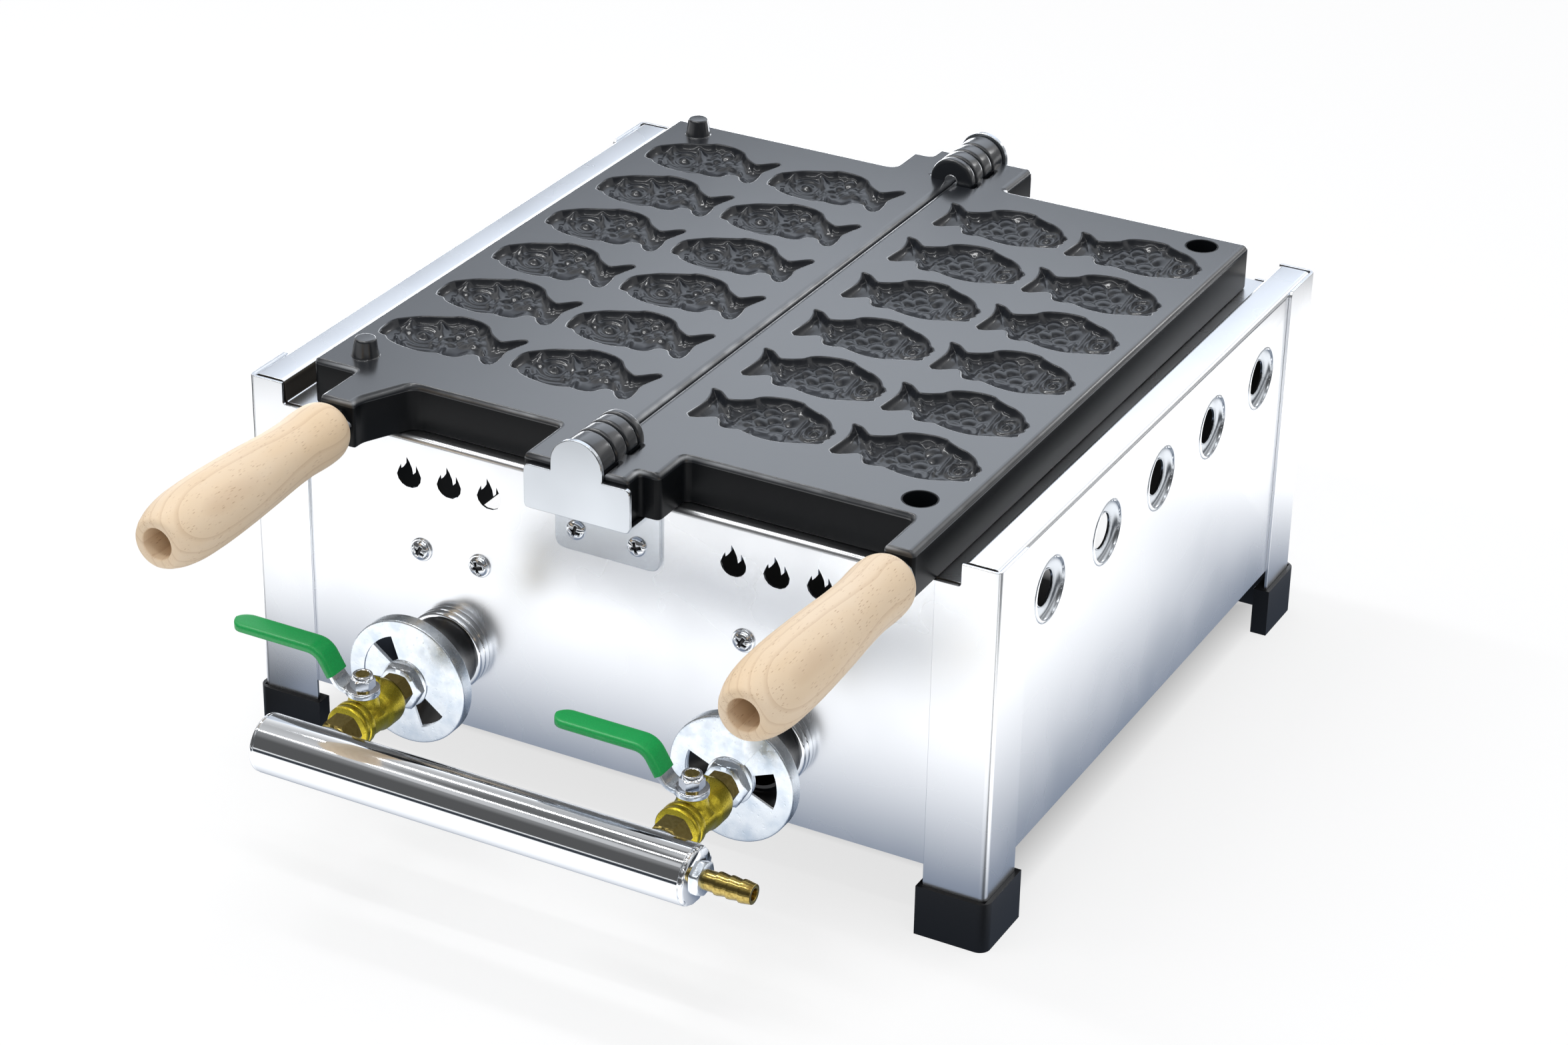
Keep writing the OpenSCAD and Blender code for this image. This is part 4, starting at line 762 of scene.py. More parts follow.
def hinge_parts(s):
    """A plate's own knuckles at both ends, and the saddles that pass round the other plate's."""
    parts = []
    for far in (False, True):
        for number, (y0, y1) in enumerate(KNUCKLES):
            a, b = (FRONT + REAR - y1, FRONT + REAR - y0) if far else (y0, y1)
            if (number % 2 == 0) == ((s < 0) != far):
                parts.append(lathe([(a, PIN_R, 0), (a, KNUCKLE_R, 2.6), (b, KNUCKLE_R, 2.6), (b, PIN_R, 0)],
                                   (0, 0, AXIS_Z), fine=7))
            else:
                swing = np.linspace(np.arcsin(INNER / SADDLE_R), np.arcsin(1) - 0.016, 16)
                arc = np.stack([SADDLE_R * np.sin(swing), AXIS_Z - SADDLE_R * np.cos(swing)], 1)
                section = np.vstack([[[SADDLE_R, LOW], [INNER, LOW]], arc, [[SADDLE_R, TOP - 1.5]]])
                low, high = a - KNUCKLE_PLAY, b + KNUCKLE_PLAY
                # The saddles take finish 1, the darker wall coating, as painted shade in the notch
                parts.append(section_strip(section, max(low, KNUCKLE_END), min(high, FRONT + REAR - KNUCKLE_END), 1))
    return parts


def dowel_parts(s):
    """Two locating dowels on the left plate, or the walls of their two sockets in the right one."""
    dowel = [(TOP - 1, 9, 0), (TOP, 8.9, 1), (TOP + 0.6, 8.35, 0.8), (TOP + 11.6, 6.5, 1.4), (TOP + 11.6, 0, 0)]
    socket = [(TOP, SOCKET_R, 0), (TOP, 9.75, 1), (TOP - 13, 9.75, 1.5), (TOP - 13, 0, 0)]
    # The sockets take finish 1, the darker wall coating, as painted shade
    return [lathe(dowel if s < 0 else socket, (DOWEL_X, y, 0), "z", 48, False, int(s > 0), 6) for y in DOWEL_YS]


def cooking_plate(s, side):
    """Casting with lugs, holes, knuckles, dowels or sockets, and its twelve moulds. Its top edges turn over by
    a quarter circle that reaches less far in on the edges that face forward."""
    sizes = bpy.context.scene.taiyaki_sizes
    edge = sizes.edge
    corners = outline_corners(s)
    seam = (corners[:, 0] <= INNER) & (np.roll(corners[:, 0], -1) <= INNER)
    along = np.roll(corners[:, :2], -1, 0) - corners[:, :2]
    forward = along[:, 0] > 2 * np.abs(along[:, 1])
    inset = np.where(seam, sizes.seam, np.where(forward, sizes.front, edge))
    fish, boundary, rim_wear_and_highlight = mould(s)
    centres = [(FISH_IN + c * FISH_COLUMN, FISH_FRONT + r * FISH_ROW) for c in (0, 1) for r in range(6)]
    holes = [boundary + np.array(c) for c in centres]
    if s > 0:
        holes += [around(48) * SOCKET_R + np.array([DOWEL_X, y]) for y in DOWEL_YS]

    def ring(by, z):
        return points_from(*inset_ring(corners, np.broadcast_to(by, len(corners))).T, z)

    walls = np.array([ring(d, z) for d, z in ((1.2, LOW), (0.35, LOW + 0.35), (0, LOW + 1.2), (0, TOP - edge))])
    turn = np.linspace(0, np.pi / 2, 9)
    rounding = np.array([ring(inset * (1 - np.cos(a)), TOP - edge + edge * np.sin(a)) for a in turn])
    # Finish 1, the darker wall coating on the walls and underside, is painted shade
    parts = [grid(rounding, wrap_v=True), grid(walls, wrap_v=True, index=1),
             capped(rounding[-1, :, :2], holes, TOP), capped(walls[0, :, :2], [], LOW, 1, flip=True)]
    parts += hinge_parts(s) + dowel_parts(s)
    # Edge mark, partly rubbed wear and partly a painted highlight, strongest half-way round the edges that face
    # forward
    wear_and_highlight_share = np.repeat(np.where(forward & np.roll(~forward, 1), 0.6, np.where(forward, 1.0, 0.1)), 5)
    piece(f"{side}_plate_casting", [mirrored(p, s) for p in parts], ["coating", "wall"], f"{side}_plate",
          # The rounding carries the edge mark: partly wear, partly a painted highlight
          sharp=38, closed=False, wear_and_highlight={0: np.outer(np.sin(2 * turn) ** 6, wear_and_highlight_share).ravel()})
    for number in range(3):
        group = [mirrored(shifted(grid(fish), (*c, 0)), s) for c in centres[number * 4:number * 4 + 4]]
        piece(f"{side}_fish_moulds_{number + 1}", group, "cavity", f"{side}_plate", sharp=180, closed=False,
              # The moulds carry the rim mark: partly wear, partly a painted highlight
              wear_and_highlight=dict.fromkeys(range(4), rim_wear_and_highlight))


class TAIYAKI_OT_plates(bpy.types.Operator):
    """Both cooking plates with their moulds, knuckles, dowels and sockets"""
    bl_idname = "taiyaki.plates"
    bl_label = "Plates"

    def execute(self, context):
        for s, side in SIDES:
            cooking_plate(s, side)
        return {"FINISHED"}


# A grip's radius along its length, from the free end, in shares of length and greatest radius
GRIP_SHARES = [(0, 0.52), (0.01, 0.64), (0.028, 0.75), (0.055, 0.83), (0.09, 0.86), (0.14, 0.86), (0.22, 0.83),
               (0.32, 0.85), (0.44, 0.91), (0.56, 0.96), (0.68, 0.995), (0.77, 1), (0.85, 0.98), (0.92, 0.90),
               (0.97, 0.78)]


class TAIYAKI_OT_handles(bpy.types.Operator):
    """Turned grips with their end bores, on chromed rods"""
    bl_idname = "taiyaki.handles"
    bl_label = "Handles"

    def execute(self, context):
        bore, deep, neck = 9.5, 45, 4.2
        for s, side in SIDES:
            low, high = GRIP[s]
            radius = (high[0] - low[0]) / 2
            centre = ((low[0] + high[0]) / 2, 0, (low[2] + high[2]) / 2)
            length = high[1] - low[1]
            outer = smooth_curve(GRIP_SHARES, 90) * [length, radius]
            tip = filleted([outer[-1], (length, radius * 0.66), (length, bore), (length - deep, bore),
                            (length - deep, neck)], (0, 3.5, 1.6, 0.5, 0), 7)
            profile = np.vstack([[(0, neck)], outer, tip[1:]])
            profile[:, 0] = high[1] - profile[:, 0]
            piece(f"{side}_grip", [turned(profile, centre, "y", 96, True)], f"{side}_beech",
                  f"{side}_handle_grip", sharp=50)
            start, end = (corner[1] for corner in ROD[s])
            rod = [lathe([(start, 0, 0), (start, 4, 0.6), (end, 4, 0.6), (end, 0, 0)], centre, "y", 40, False),
                   hexed(centre, "y", high[1], LUG_FRONT, 19, 3.9)]
            piece(f"{side}_rod", rod, "chrome", f"{side}_handle_rod")
            kept("zinc", f"{side}_handle_nut")
        return {"FINISHED"}


BURNER_X, BURNER_Z = 110.0, 100.0
STEM_Y, VALVE_BACK, VALVE_FRONT = -94.0, -70.0, -70.05
# Radius of the gas way
GAS_R = 3.5


def sector(turn, inner=14.0, outer=30.0, spread=78.0, steps=20):
    """Outline of one window: a ring sector about its turn, in degrees, counter-clockwise."""
    a = np.radians(turn + np.linspace(-spread / 2, spread / 2, steps))
    arc = np.stack([np.cos(a), np.sin(a)], 1)
    return np.vstack([arc * outer, arc[::-1] * inner])


def disc_with_windows(front, back, rim, bore, turn, centre, index=0):
    """A flat disc with a bore and two windows: two sheets and the walls of their holes.
    Seen from the front, +x is to the right and +z is up."""
    holes = [around(96)[::2] * bore, sector(turn), sector(turn + 180)]
    parts = []
    for y, flip in ((front, False), (back, True)):
        points, faces, _ = capped(around(96) * rim, holes, y, index, flip=flip)
        parts.append((points[:, [0, 2, 1]] + [centre[0], 0, centre[2]], faces, index))
    walls = [points_from(hole[:, :1] + centre[0], [front, back], hole[:, 1:] + centre[2]) for hole in holes]
    return parts + [grid(wall, wrap_u=True, index=index) for wall in walls]


# A bell's way and swell, in shares of its length and of its growth in radius
BELL_SHARES = [(0, 0), (0.18, 0.02), (0.34, 0.12), (0.52, 0.34), (0.72, 0.66), (0.88, 0.90), (1, 1)]


class TAIYAKI_OT_mixers(bpy.types.Operator):
    """Panel rings, mixer bells, air shutters, locknuts and injectors"""
    bl_idname = "taiyaki.mixers"
    bl_label = "Mixers"

    def execute(self, context):
        bell_face, bell_back, bell_rim, thread = -47.4, -45.0, 37.0, 7.05
        # Turn of the bell's windows, and of the shutter's against them, in degrees
        for (s, side), (window, turn) in zip(SIDES, ((104.0, 44.0), (-17.0, 33.0))):
            centre = (s * BURNER_X, 0, BURNER_Z)
            ring = lathe([(2, 21.3, 0), (2, 26, 0.4), (-2.2, 26, 0.5), (-2.8, 25.2, 0.3), (-3.4, 26, 0.5),
                          (-8, 26, 1.8), (-8, 21.3, 0)], centre, "y", 96)
            piece(f"{side}_ring", [ring], "chrome", f"{side}_panel_ring")
            flare = smooth_curve([(-8.1 - 39.3 * a, (46.9 + b * 29.1) / 2) for a, b in BELL_SHARES], 40)
            inner = flare[::-1] - [0, 2.4]
            bell = np.vstack([flare, [[bell_face, bell_rim]], [[bell_back, 35.6]], inner[1:]])
            piece(f"{side}_bell", [turned(bell, centre, "y", 96, True)]
                  + disc_with_windows(bell_face, bell_back, bell_rim, thread, window, centre, 1),
                  ["black_paint", "zinc"], f"{side}_mixer_bell", reflected=False)
            cup = lathe([(-49.3, 38.2, 0), (-49.3, 40.4, 1.7), (-40.3, 40.4, 0.6), (-40.3, 38.8, 0.4),
                         (-47.7, 38.8, 0.5), (-47.7, 38.2, 0)], centre, "y", 96, False, fine=6)
            piece(f"{side}_shutter", [cup] + disc_with_windows(-49.3, -47.7, 38.2, 7.1, window + turn, centre),
                  "zinc", f"{side}_air_shutter", reflected=False)
            nut = [hexed(centre, "y", -57.6, -50.8, 26, thread),
                   lathe([(-49.6, thread, 0), (-49.6, 15, 0.4), (-50.8, 15, 0.4), (-51.4, 12, 0.3),
                          (-51.4, thread, 0)], centre)]
            piece(f"{side}_locknut_piece", nut, "zinc", f"{side}_locknut", reflected=False)
            pipe = turned([(-57.65, GAS_R), (-57.65, 7), (-27.7, 7), (-27.7, GAS_R), (-20.7, GAS_R), (-20.7, 0.7),
                           (-27.7, 0.7), (-27.7, GAS_R)], centre, "y", 40)
            piece(f"{side}_injector_piece", [hexed(centre, "y", VALVE_BACK, -57.65, 19, GAS_R), pipe], "dull_brass",
                  f"{side}_injector", closed=False, reflected=False)
        return {"FINISHED"}


# Ball valve's body along its length, in shares of length and greatest radius
VALVE_SHARES = [(0, 0.86), (0.015, 0.93), (0.05, 0.97), (0.10, 1), (0.30, 1), (0.36, 0.99), (0.40, 0.93),
                (0.46, 0.90), (0.66, 0.87), (0.72, 0.82), (0.745, 0.81), (0.76, 0.86), (0.77, 0.955), (0.785, 0.97),
                (0.855, 0.97), (0.87, 0.955), (0.88, 0.90), (0.905, 0.90), (0.915, 0.955), (0.93, 0.97),
                (0.985, 0.965), (1, 0.93)]
# A lever's centre line [away from the stem, up], and its height over the floor at the stem
LEVER_PATH = [(0, 0), (14, 0), (27, 22), (87, 22)]
LEVER_Z = 116.8


def rounded_end(t, end, radius):
    """Half-width of a bar that ends in a half circle: the circle's height over the distance to its centre."""
    past = np.maximum(t - end + radius, 0)
    return np.sqrt(np.maximum(radius ** 2 - past ** 2, 0))


def bent_bar(s, start, end, half_width, half_thick, power, count=90, rim=24):
    """A bar along the lever's bent centre line: at each place a squared oval of the local half-width.
    half_width is a function of the distance along the line and of the line's end."""
    line = filleted(LEVER_PATH + [(LEVER_PATH[-1][0] + 10, LEVER_PATH[-1][1])], 7, 9)
    way = np.concatenate([[0], np.cumsum(np.linalg.norm(np.diff(line, axis=0), axis=1))])
    flat_end = np.interp(LEVER_PATH[-1][0], line[:, 0], way)
    t = start + (flat_end + end - start) * crowded(count, 0.75)
    x, z = np.interp(t, way, line[:, 0]), np.interp(t, way, line[:, 1])
    x = np.where(t < 0, t, x)
    step = np.gradient(np.stack([x, z], 1), t, axis=0)
    step /= np.linalg.norm(step, axis=1)[:, None]
    across, through = (np.sign(w) * np.abs(w) ** power for w in around(rim).T)
    lift = through * half_thick
    points = points_from(x[:, None] - step[:, 1:] * lift, half_width(t, flat_end)[:, None] * across,
                         z[:, None] + step[:, :1] * lift)
    first, last = (points[i].mean(0)[None, None].repeat(rim, 1) for i in (0, -1))
    points = np.concatenate([first, points, last])
    return grid(points * [-1, -1, 1] + [s * BURNER_X, STEM_Y, LEVER_Z], wrap_v=True)


class TAIYAKI_OT_valves(bpy.types.Operator):
    """Ball valves with levers, sleeves, nuts and inlet nipples"""
    bl_idname = "taiyaki.valves"
    bl_label = "Valves"

    def execute(self, context):
        def lever_half(t, end):
            return np.where(t < 7.6, np.sqrt(np.maximum(100 - t ** 2, 0)), rounded_end(t, end, 6.5))

        def sleeve_half(t, end):
            return rounded_end(t, end + 1.4, 7.9)

        for s, side in SIDES:
            centre = (s * BURNER_X, 0, BURNER_Z)
            body = np.array(VALVE_SHARES) * [-41.9, 14.5] + [VALVE_FRONT, 0]
            body = np.vstack([[(VALVE_FRONT, GAS_R)], body, [(VALVE_FRONT - 41.9, GAS_R)]])
            boss = [(4, 13, 0), (9.5, 9.3, 5), (15, 8.4, 0.8), (15, 4.1, 0.3), (9, 4.1, 0)]
            stop = [(-3, 0), (3, 0), (3, 18.6), (2.2, 19.5), (-2.2, 19.5), (-3, 18.6)]
            parts = [turned(body, centre, "y", 96, True),
                     lathe(boss, (centre[0], STEM_Y, BURNER_Z), "z", 60, False, fine=7),
                     section_strip([(centre[0] + x, BURNER_Z + z) for x, z in stop], -82.8, -79.8)]
            piece(f"{side}_valve", parts, "cast_brass", f"{side}_valve_body", closed=False, sharp=40,
                  reflected=False)
            kept("dull_brass", f"{side}_valve_ball")
            end = turned([(-131.8, GAS_R), (-131.8, 7), (-133, 7), (-133, GAS_R)], centre, "y", 40, True, 1)
            piece(f"{side}_nipple", [hexed(centre, "y", -126.5, -112, 20, GAS_R),
                                     hexed(centre, "y", -131.8, -126.5, 17, GAS_R, 1), end],
                  ["dull_brass", "zinc"], f"{side}_inlet_nipple", closed=False, reflected=False)
            stem = (centre[0], STEM_Y, 0)
            washer = [(118.3, 4.05, 0), (118.3, 10, 0.3), (119.5, 10, 0.4), (119.5, 4.05, 0)]
            collar = [(125.8, 4.05, 0), (125.8, 6.4, 0.3), (128.5, 5.9, 0.9), (128.5, 4.6, 0.5), (128.0, 4.05, 0)]
            nut = [lathe(washer, stem, "z", 60), hexed(stem, "z", 119.5, 125.8, 13, 4.05),
                   lathe(collar, stem, "z", 60)]
            piece(f"{side}_lever_nut_piece", nut, "chrome", f"{side}_lever_nut", closed=False, reflected=False)
            piece(f"{side}_lever_piece", [bent_bar(s, -10, 0, lever_half, 1.5, 0.22)], "zinc", f"{side}_lever",
                  sharp=38, reflected=False)
            piece(f"{side}_sleeve", [bent_bar(s, 21, 1.4, sleeve_half, 2.9, 0.42)], "vinyl",
                  f"{side}_lever_sleeve", sharp=60, reflected=False)
        return {"FINISHED"}


class TAIYAKI_OT_manifold(bpy.types.Operator):
    """Chromed manifold with its caps and the hose barb"""
    bl_idname = "taiyaki.manifold"
    bl_label = "Manifold"

    def execute(self, context):
        centre, half, bore, root, crest = (0, -146.4, BURNER_Z), 140, 15.8, 5.9, 6.8
        tube = lathe([(-half, bore, 0), (-half, 17.8, 0.5), (half, 17.8, 0.5), (half, bore, 0)], centre, "x", 96)
        piece("manifold_tube", [tube], "chrome", "gas_manifold")
        cap = [(-135, 0, 0), (-135, 15.7, 0.3), (-140.1, 15.7, 0), (-140.1, 17.6, 1), (-142.5, 17.6, 1.6),
               (-142.5, 0, 0)]
        weld = [(135, 0, 0), (135, 15.7, 0.3), (140.1, 15.7, 0), (140.1, 17.4, 1.2), (142.5, 16.6, 1.6),
                (144.4, 11, 3), (144.6, 0, 0)]
        cap, weld = (lathe(corners, centre, "x", 96, False, fine=6) for corners in (cap, weld))
        piece("manifold_cap", [cap], "chrome", "manifold_end_cap")
        piece("manifold_weld", [weld, weld_bead(centre)], "chrome", "manifold_weld_cap", closed=False)
        # Three barbs, each a ramp up to its crest
        land = [(148.5, root), (156, root), (156, crest), (157.5, crest), (163.4, root), (163.5, crest),
                (165, crest), (170.9, root), (171, crest), (172.5, crest), (178.5, root), (178.5, GAS_R),
                (148.5, GAS_R)]
        barb = [hexed(centre, "x", 142.55, 148.5, 19, GAS_R, 1),
                turned(filleted(land, 0.25, 3), centre, "x", 60, True)]
        piece("barb", barb, ["dull_brass", "zinc"], "hose_barb", closed=False, sharp=40)
        return {"FINISHED"}


def weld_bead(centre):
    """Weld around the cap: a torus whose section swells and shrinks in overlapping drops."""
    a = np.arange(144)[:, None] / 144 * 2 * np.pi
    b = np.arange(12) / 12 * 2 * np.pi
    swell = 1.3 + 0.55 * np.abs(np.sin(a * 8)) + 0.2 * np.sin(a * 5 + 1)
    radius = 15.8 + 0.2 * np.sin(a * 7) + swell * np.cos(b) * 0.9
    points = points_from(radius * np.cos(a), radius * np.sin(a), 140.9 + swell * np.sin(b) * 0.95, "x")
    return grid(points + np.array(centre, float), wrap_u=True, wrap_v=True)


def screw_head(x, y, z, facing, washer, recess_turn):
    """Pan head as a height over a disc, sunk by a crossed recess that takes finish 1, black as painted shade and
    dirt, on its washer.
    """
    r = np.concatenate([np.linspace(0, 5.4, 28), [5.9, 6.15, 6.25]])
    a = np.arange(72) / 72 * 2 * np.pi
    R, A = np.meshgrid(r, a, indexing="ij")
    p, q = np.abs(R * np.cos(A + recess_turn)), np.abs(R * np.sin(A + recess_turn))
    arm = np.minimum(np.maximum(p / 3.5, q / 0.95), np.maximum(q / 3.5, p / 0.95))
    height = 3.6 * (1 - (R / 6.6) ** 2) ** 0.5 - 2.4 / (1 + np.exp((arm - 1) * 12))
    height[-1] = 0
    height[-2] = np.minimum(height[-2], 0.7)
    head = points_from(x + R * np.cos(A), y + facing * (height + washer), z + R * np.sin(A))
    points, faces, _ = grid(head, wrap_v=True)
    faces = np.array(faces)
    # Faces down in the recess take finish 1, black: painted shade with some dirt
    sunk = arm.ravel()[faces].mean(1) < 0.98
    parts = [(points, faces[~sunk].tolist(), 0), (points, faces[sunk].tolist(), 1)]
    if washer:
        top = y + facing * washer
        parts.append(lathe([(y, 3.05, 0), (y, 7.4, 0.2), (top, 7.4, 0.5), (top, 3.05, 0)], (x, 0, z), "y", 48))
    shank = turned([(y + facing * 0.2, 3), (y - facing * 14, 3), (y - facing * 14, 0)], (x, 0, z), "y", 24)
    return parts + [shank]


def cut_plate(corners, a, b, rounding, axis="y"):
    """A plate cut to an outline of [x, y, radius]: both faces and the wall between them, edges eased."""
    ones = np.ones(len(corners))
    some = rounding * 0.4
    rings = [(inset_ring(corners, ones * d), h) for d, h in
             ((rounding, a), (some, a + some), (0, a + rounding), (0, b - rounding), (some, b - some), (rounding, b))]
    wall = np.array([points_from(*ring.T, h, axis) for ring, h in rings])
    return [grid(wall, wrap_v=True), capped(rings[0][0], [], a, 0, axis, True), capped(rings[-1][0], [], b, 0, axis)]


def hinge_bracket(end):
    """Domed plate in front of the knuckles, web under the lugs and tab against the panel."""
    low, high = span(f"{end}_hinge_bracket")
    thick, shoulder, round_r = 3.0, 28.0, 3.6
    half, web, dome = high[0], low[2] + 41.0, high[2] - AXIS_Z
    arc = np.radians(np.linspace(90, -90, 25))
    # Outlines for a plate that faces along y are given as [z, x]
    domed = [(web, -half, round_r), (web + shoulder, -half, round_r), (web + shoulder, -dome, 0.8)]
    domed += [(AXIS_Z + dome * np.cos(a), -dome * np.sin(a), 0.2) for a in arc]
    domed += [(web + shoulder, dome, 0.8), (web + shoulder, half, round_r), (web, half, round_r)]
    tab = [(low[2], -half, 7), (web + thick, -half, 0.5), (web + thick, half, 0.5), (low[2], half, 7)]
    face = (low[1], low[1] + thick) if end == "front" else (high[1] - thick, high[1])
    back = (high[1] - thick, high[1]) if end == "front" else (low[1], low[1] + thick)
    reach = [(-half + 0.4, low[1] + 0.5, 1), (half - 0.4, low[1] + 0.5, 1), (half - 0.4, high[1] - 0.5, 1),
             (-half + 0.4, high[1] - 0.5, 1)]
    # The outlines run the way that puts the solid on their left
    parts = cut_plate(np.array(domed), *face, 0.45) + cut_plate(np.array(tab), *back, 0.35)
    return parts + cut_plate(np.array(reach), web, web + thick, 0.35, "z")


def vent_bowl(s, y, z, face):
    """A vent's pressed bowl: a crisp outer bead, a quarter-oval bowl and a bead round the hole."""
    deep = np.radians(np.linspace(0, 90, 12))
    bowl = np.stack([-0.1 - 3.6 * np.sin(deep), 11.9 + 7.6 * np.cos(deep)], 1)
    bead = filleted([(-1.2, 20.6), (0.02, 20.6), (0.4, 20.1), (0.4, 19.7), (-0.1, 19.5)], 0.3, 4)
    lip = filleted([bowl[-1], (-3.1, 11.7), (-3.1, 11.0), (-4.9, 11.0), (-4.9, 12.6)], 0.35, 4)
    back = bowl[::-1] - [1.3, -0.6]
    profile = np.vstack([bead, bowl[1:-1], lip, back[:-2]])
    return mirrored(turned(profile, (face, y, z), "x", 72, True), s)


class TAIYAKI_OT_stand(bpy.types.Operator):
    """Folded sheet body, legs, boots, hinge brackets, pins and screws"""
    bl_idname = "taiyaki.stand"
    bl_label = "Stand"

    def execute(self, context):
        vents = [(MIDDLE[1] + (i - 2) * VENT_PITCH, VENT_Z) for i in range(5)]
        face = span("right_side_panel")[1][0]

        def in_vent(c):
            return abs(c[0]) > face - 8 and any(np.hypot(c[1] - y, c[2] - z) < 19.6 for y, z in vents)

        # The inner finish is the darker sheet: heat tint and painted shade on faces inside, underneath and at cut
        # ends
        for end in ("front", "rear"):
            dressed(f"{end}_panel_sheet", f"{end}_panel", "sheet", 0.25, inner="scorched")
        for s, side in SIDES:
            dressed(f"{side}_side_sheet", f"{side}_side_panel", "sheet", 0.25, inner="scorched", cut=in_vent,
                    ends=True)
            piece(f"{side}_vents", [vent_bowl(s, y, z, face) for y, z in vents], "bracket", f"{side}_side_panel",
                  sharp=50)
        for end in ("front", "rear"):
            for _, side in SIDES:
                dressed(f"{end}_{side}_angle", f"{end}_{side}_leg", "sheet", 0.35)
                dressed(f"{end}_{side}_foot", f"{end}_{side}_boot", "rubber", 1.2)
            piece(f"{end}_bracket", hinge_bracket(end), "bracket", f"{end}_hinge_bracket", sharp=30)
            low, high = (corner[1] for corner in span(f"{end}_hinge_pin"))
            pin = lathe([(low, 0, 0), (low, 5, 1), (high, 5, 1), (high, 0, 0)], (0, 0, AXIS_Z), "y", 48, False)
            piece(f"{end}_pin", [pin], "chrome", f"{end}_hinge_pin")
        rear = span("bracket_screws")[1][1] - 3.6
        # Each row holds x, y, z, the way that it faces, its washer and the turn of its recess
        for name, node_name, rows in (
                ("bracket_screw_heads", "bracket_screws",
                 [(x, y, 204, facing, 0, turn + number) for y, facing, turn in ((-1.0, -1, 0.3), (rear, 1, 0.9))
                  for number, x in enumerate((-20.5, 20.5))]),
                ("panel_screws", "panel_screw_set",
                 [(x, 2.0, 160, -1, 1.2, 0.5 + number * 0.8)
                  for number, x in enumerate((-130.5, -89.5, 89.5, 130.5))])):
            heads = [part for row in rows for part in screw_head(*row)]
            # The recesses take the black paint finish as painted shade and dirt
            piece(name, heads, ["chrome", "black_paint"], node_name, closed=False, sharp=45)
        kept("zinc", "screw_nuts")
        kept("black_paint", "left_burner_tube", "right_burner_tube")
        # Burner mounts and rests take the darker sheet: partly heat tint, partly painted shade
        kept("scorched", "burner_mounts", "burner_rests")
        return {"FINISHED"}


def staged_quad(name, corners, material):
    """A rectangle of the stage, which isn't part of the object."""
    mesh = bpy.data.meshes.new(name)
    mesh.from_pydata(corners, [], [(0, 1, 2, 3)])
    mesh.materials.append(material)
    made = bpy.data.objects.new(name, mesh)
    bpy.context.scene.collection.objects.link(made)
    return made


class TAIYAKI_OT_studio(bpy.types.Operator):
    """Pale floor, even sky, softboxes and the camera"""
    bl_idname = "taiyaki.studio"
    bl_label = "Studio"

    def execute(self, context):
        scene = context.scene
        studio = scene.taiyaki_studio
        reach = 30
        staged_quad("studio_floor", [(-reach, -reach, 0), (reach, -reach, 0), (reach, reach, 0), (-reach, reach, 0)],
                    floor_paint(studio))
        scene.world = studio_sky(studio)
        for name, x, share in (("left", -0.75, 1.0), ("right", 0.75, 0.12)):
            lamp(f"overhead_strip_{name}", (x, 0.1, 1.9), (x * 0.3, 0.05, 0.25), 0.1, 1.1, studio.key * share)
        lamp("front_strip", (-0.5, -0.8, 1.55), (-0.5, -0.1, 0.26), 2.4, 0.05, studio.line)
        lamp("rear_softbox", (0.95, 1.9, 1.12), (0, 0, 0.25), 0.14, 0.4, studio.rim_light)
        backdrop_card()

        # 28 degrees round to the right and 28 degrees down
        camera = bpy.data.objects.new("view", bpy.data.cameras.new("view"))
        camera.location = (1.00233, -1.83237, 1.25456)
        camera.rotation_euler = Euler(np.radians([62.0545, -0.9806, 28.2857]))
        camera.data.lens = 88.115
        camera.data.sensor_width = 36
        scene.collection.objects.link(camera)
        scene.camera = camera
        scene.view_settings.view_transform = "Standard"
        return {"FINISHED"}


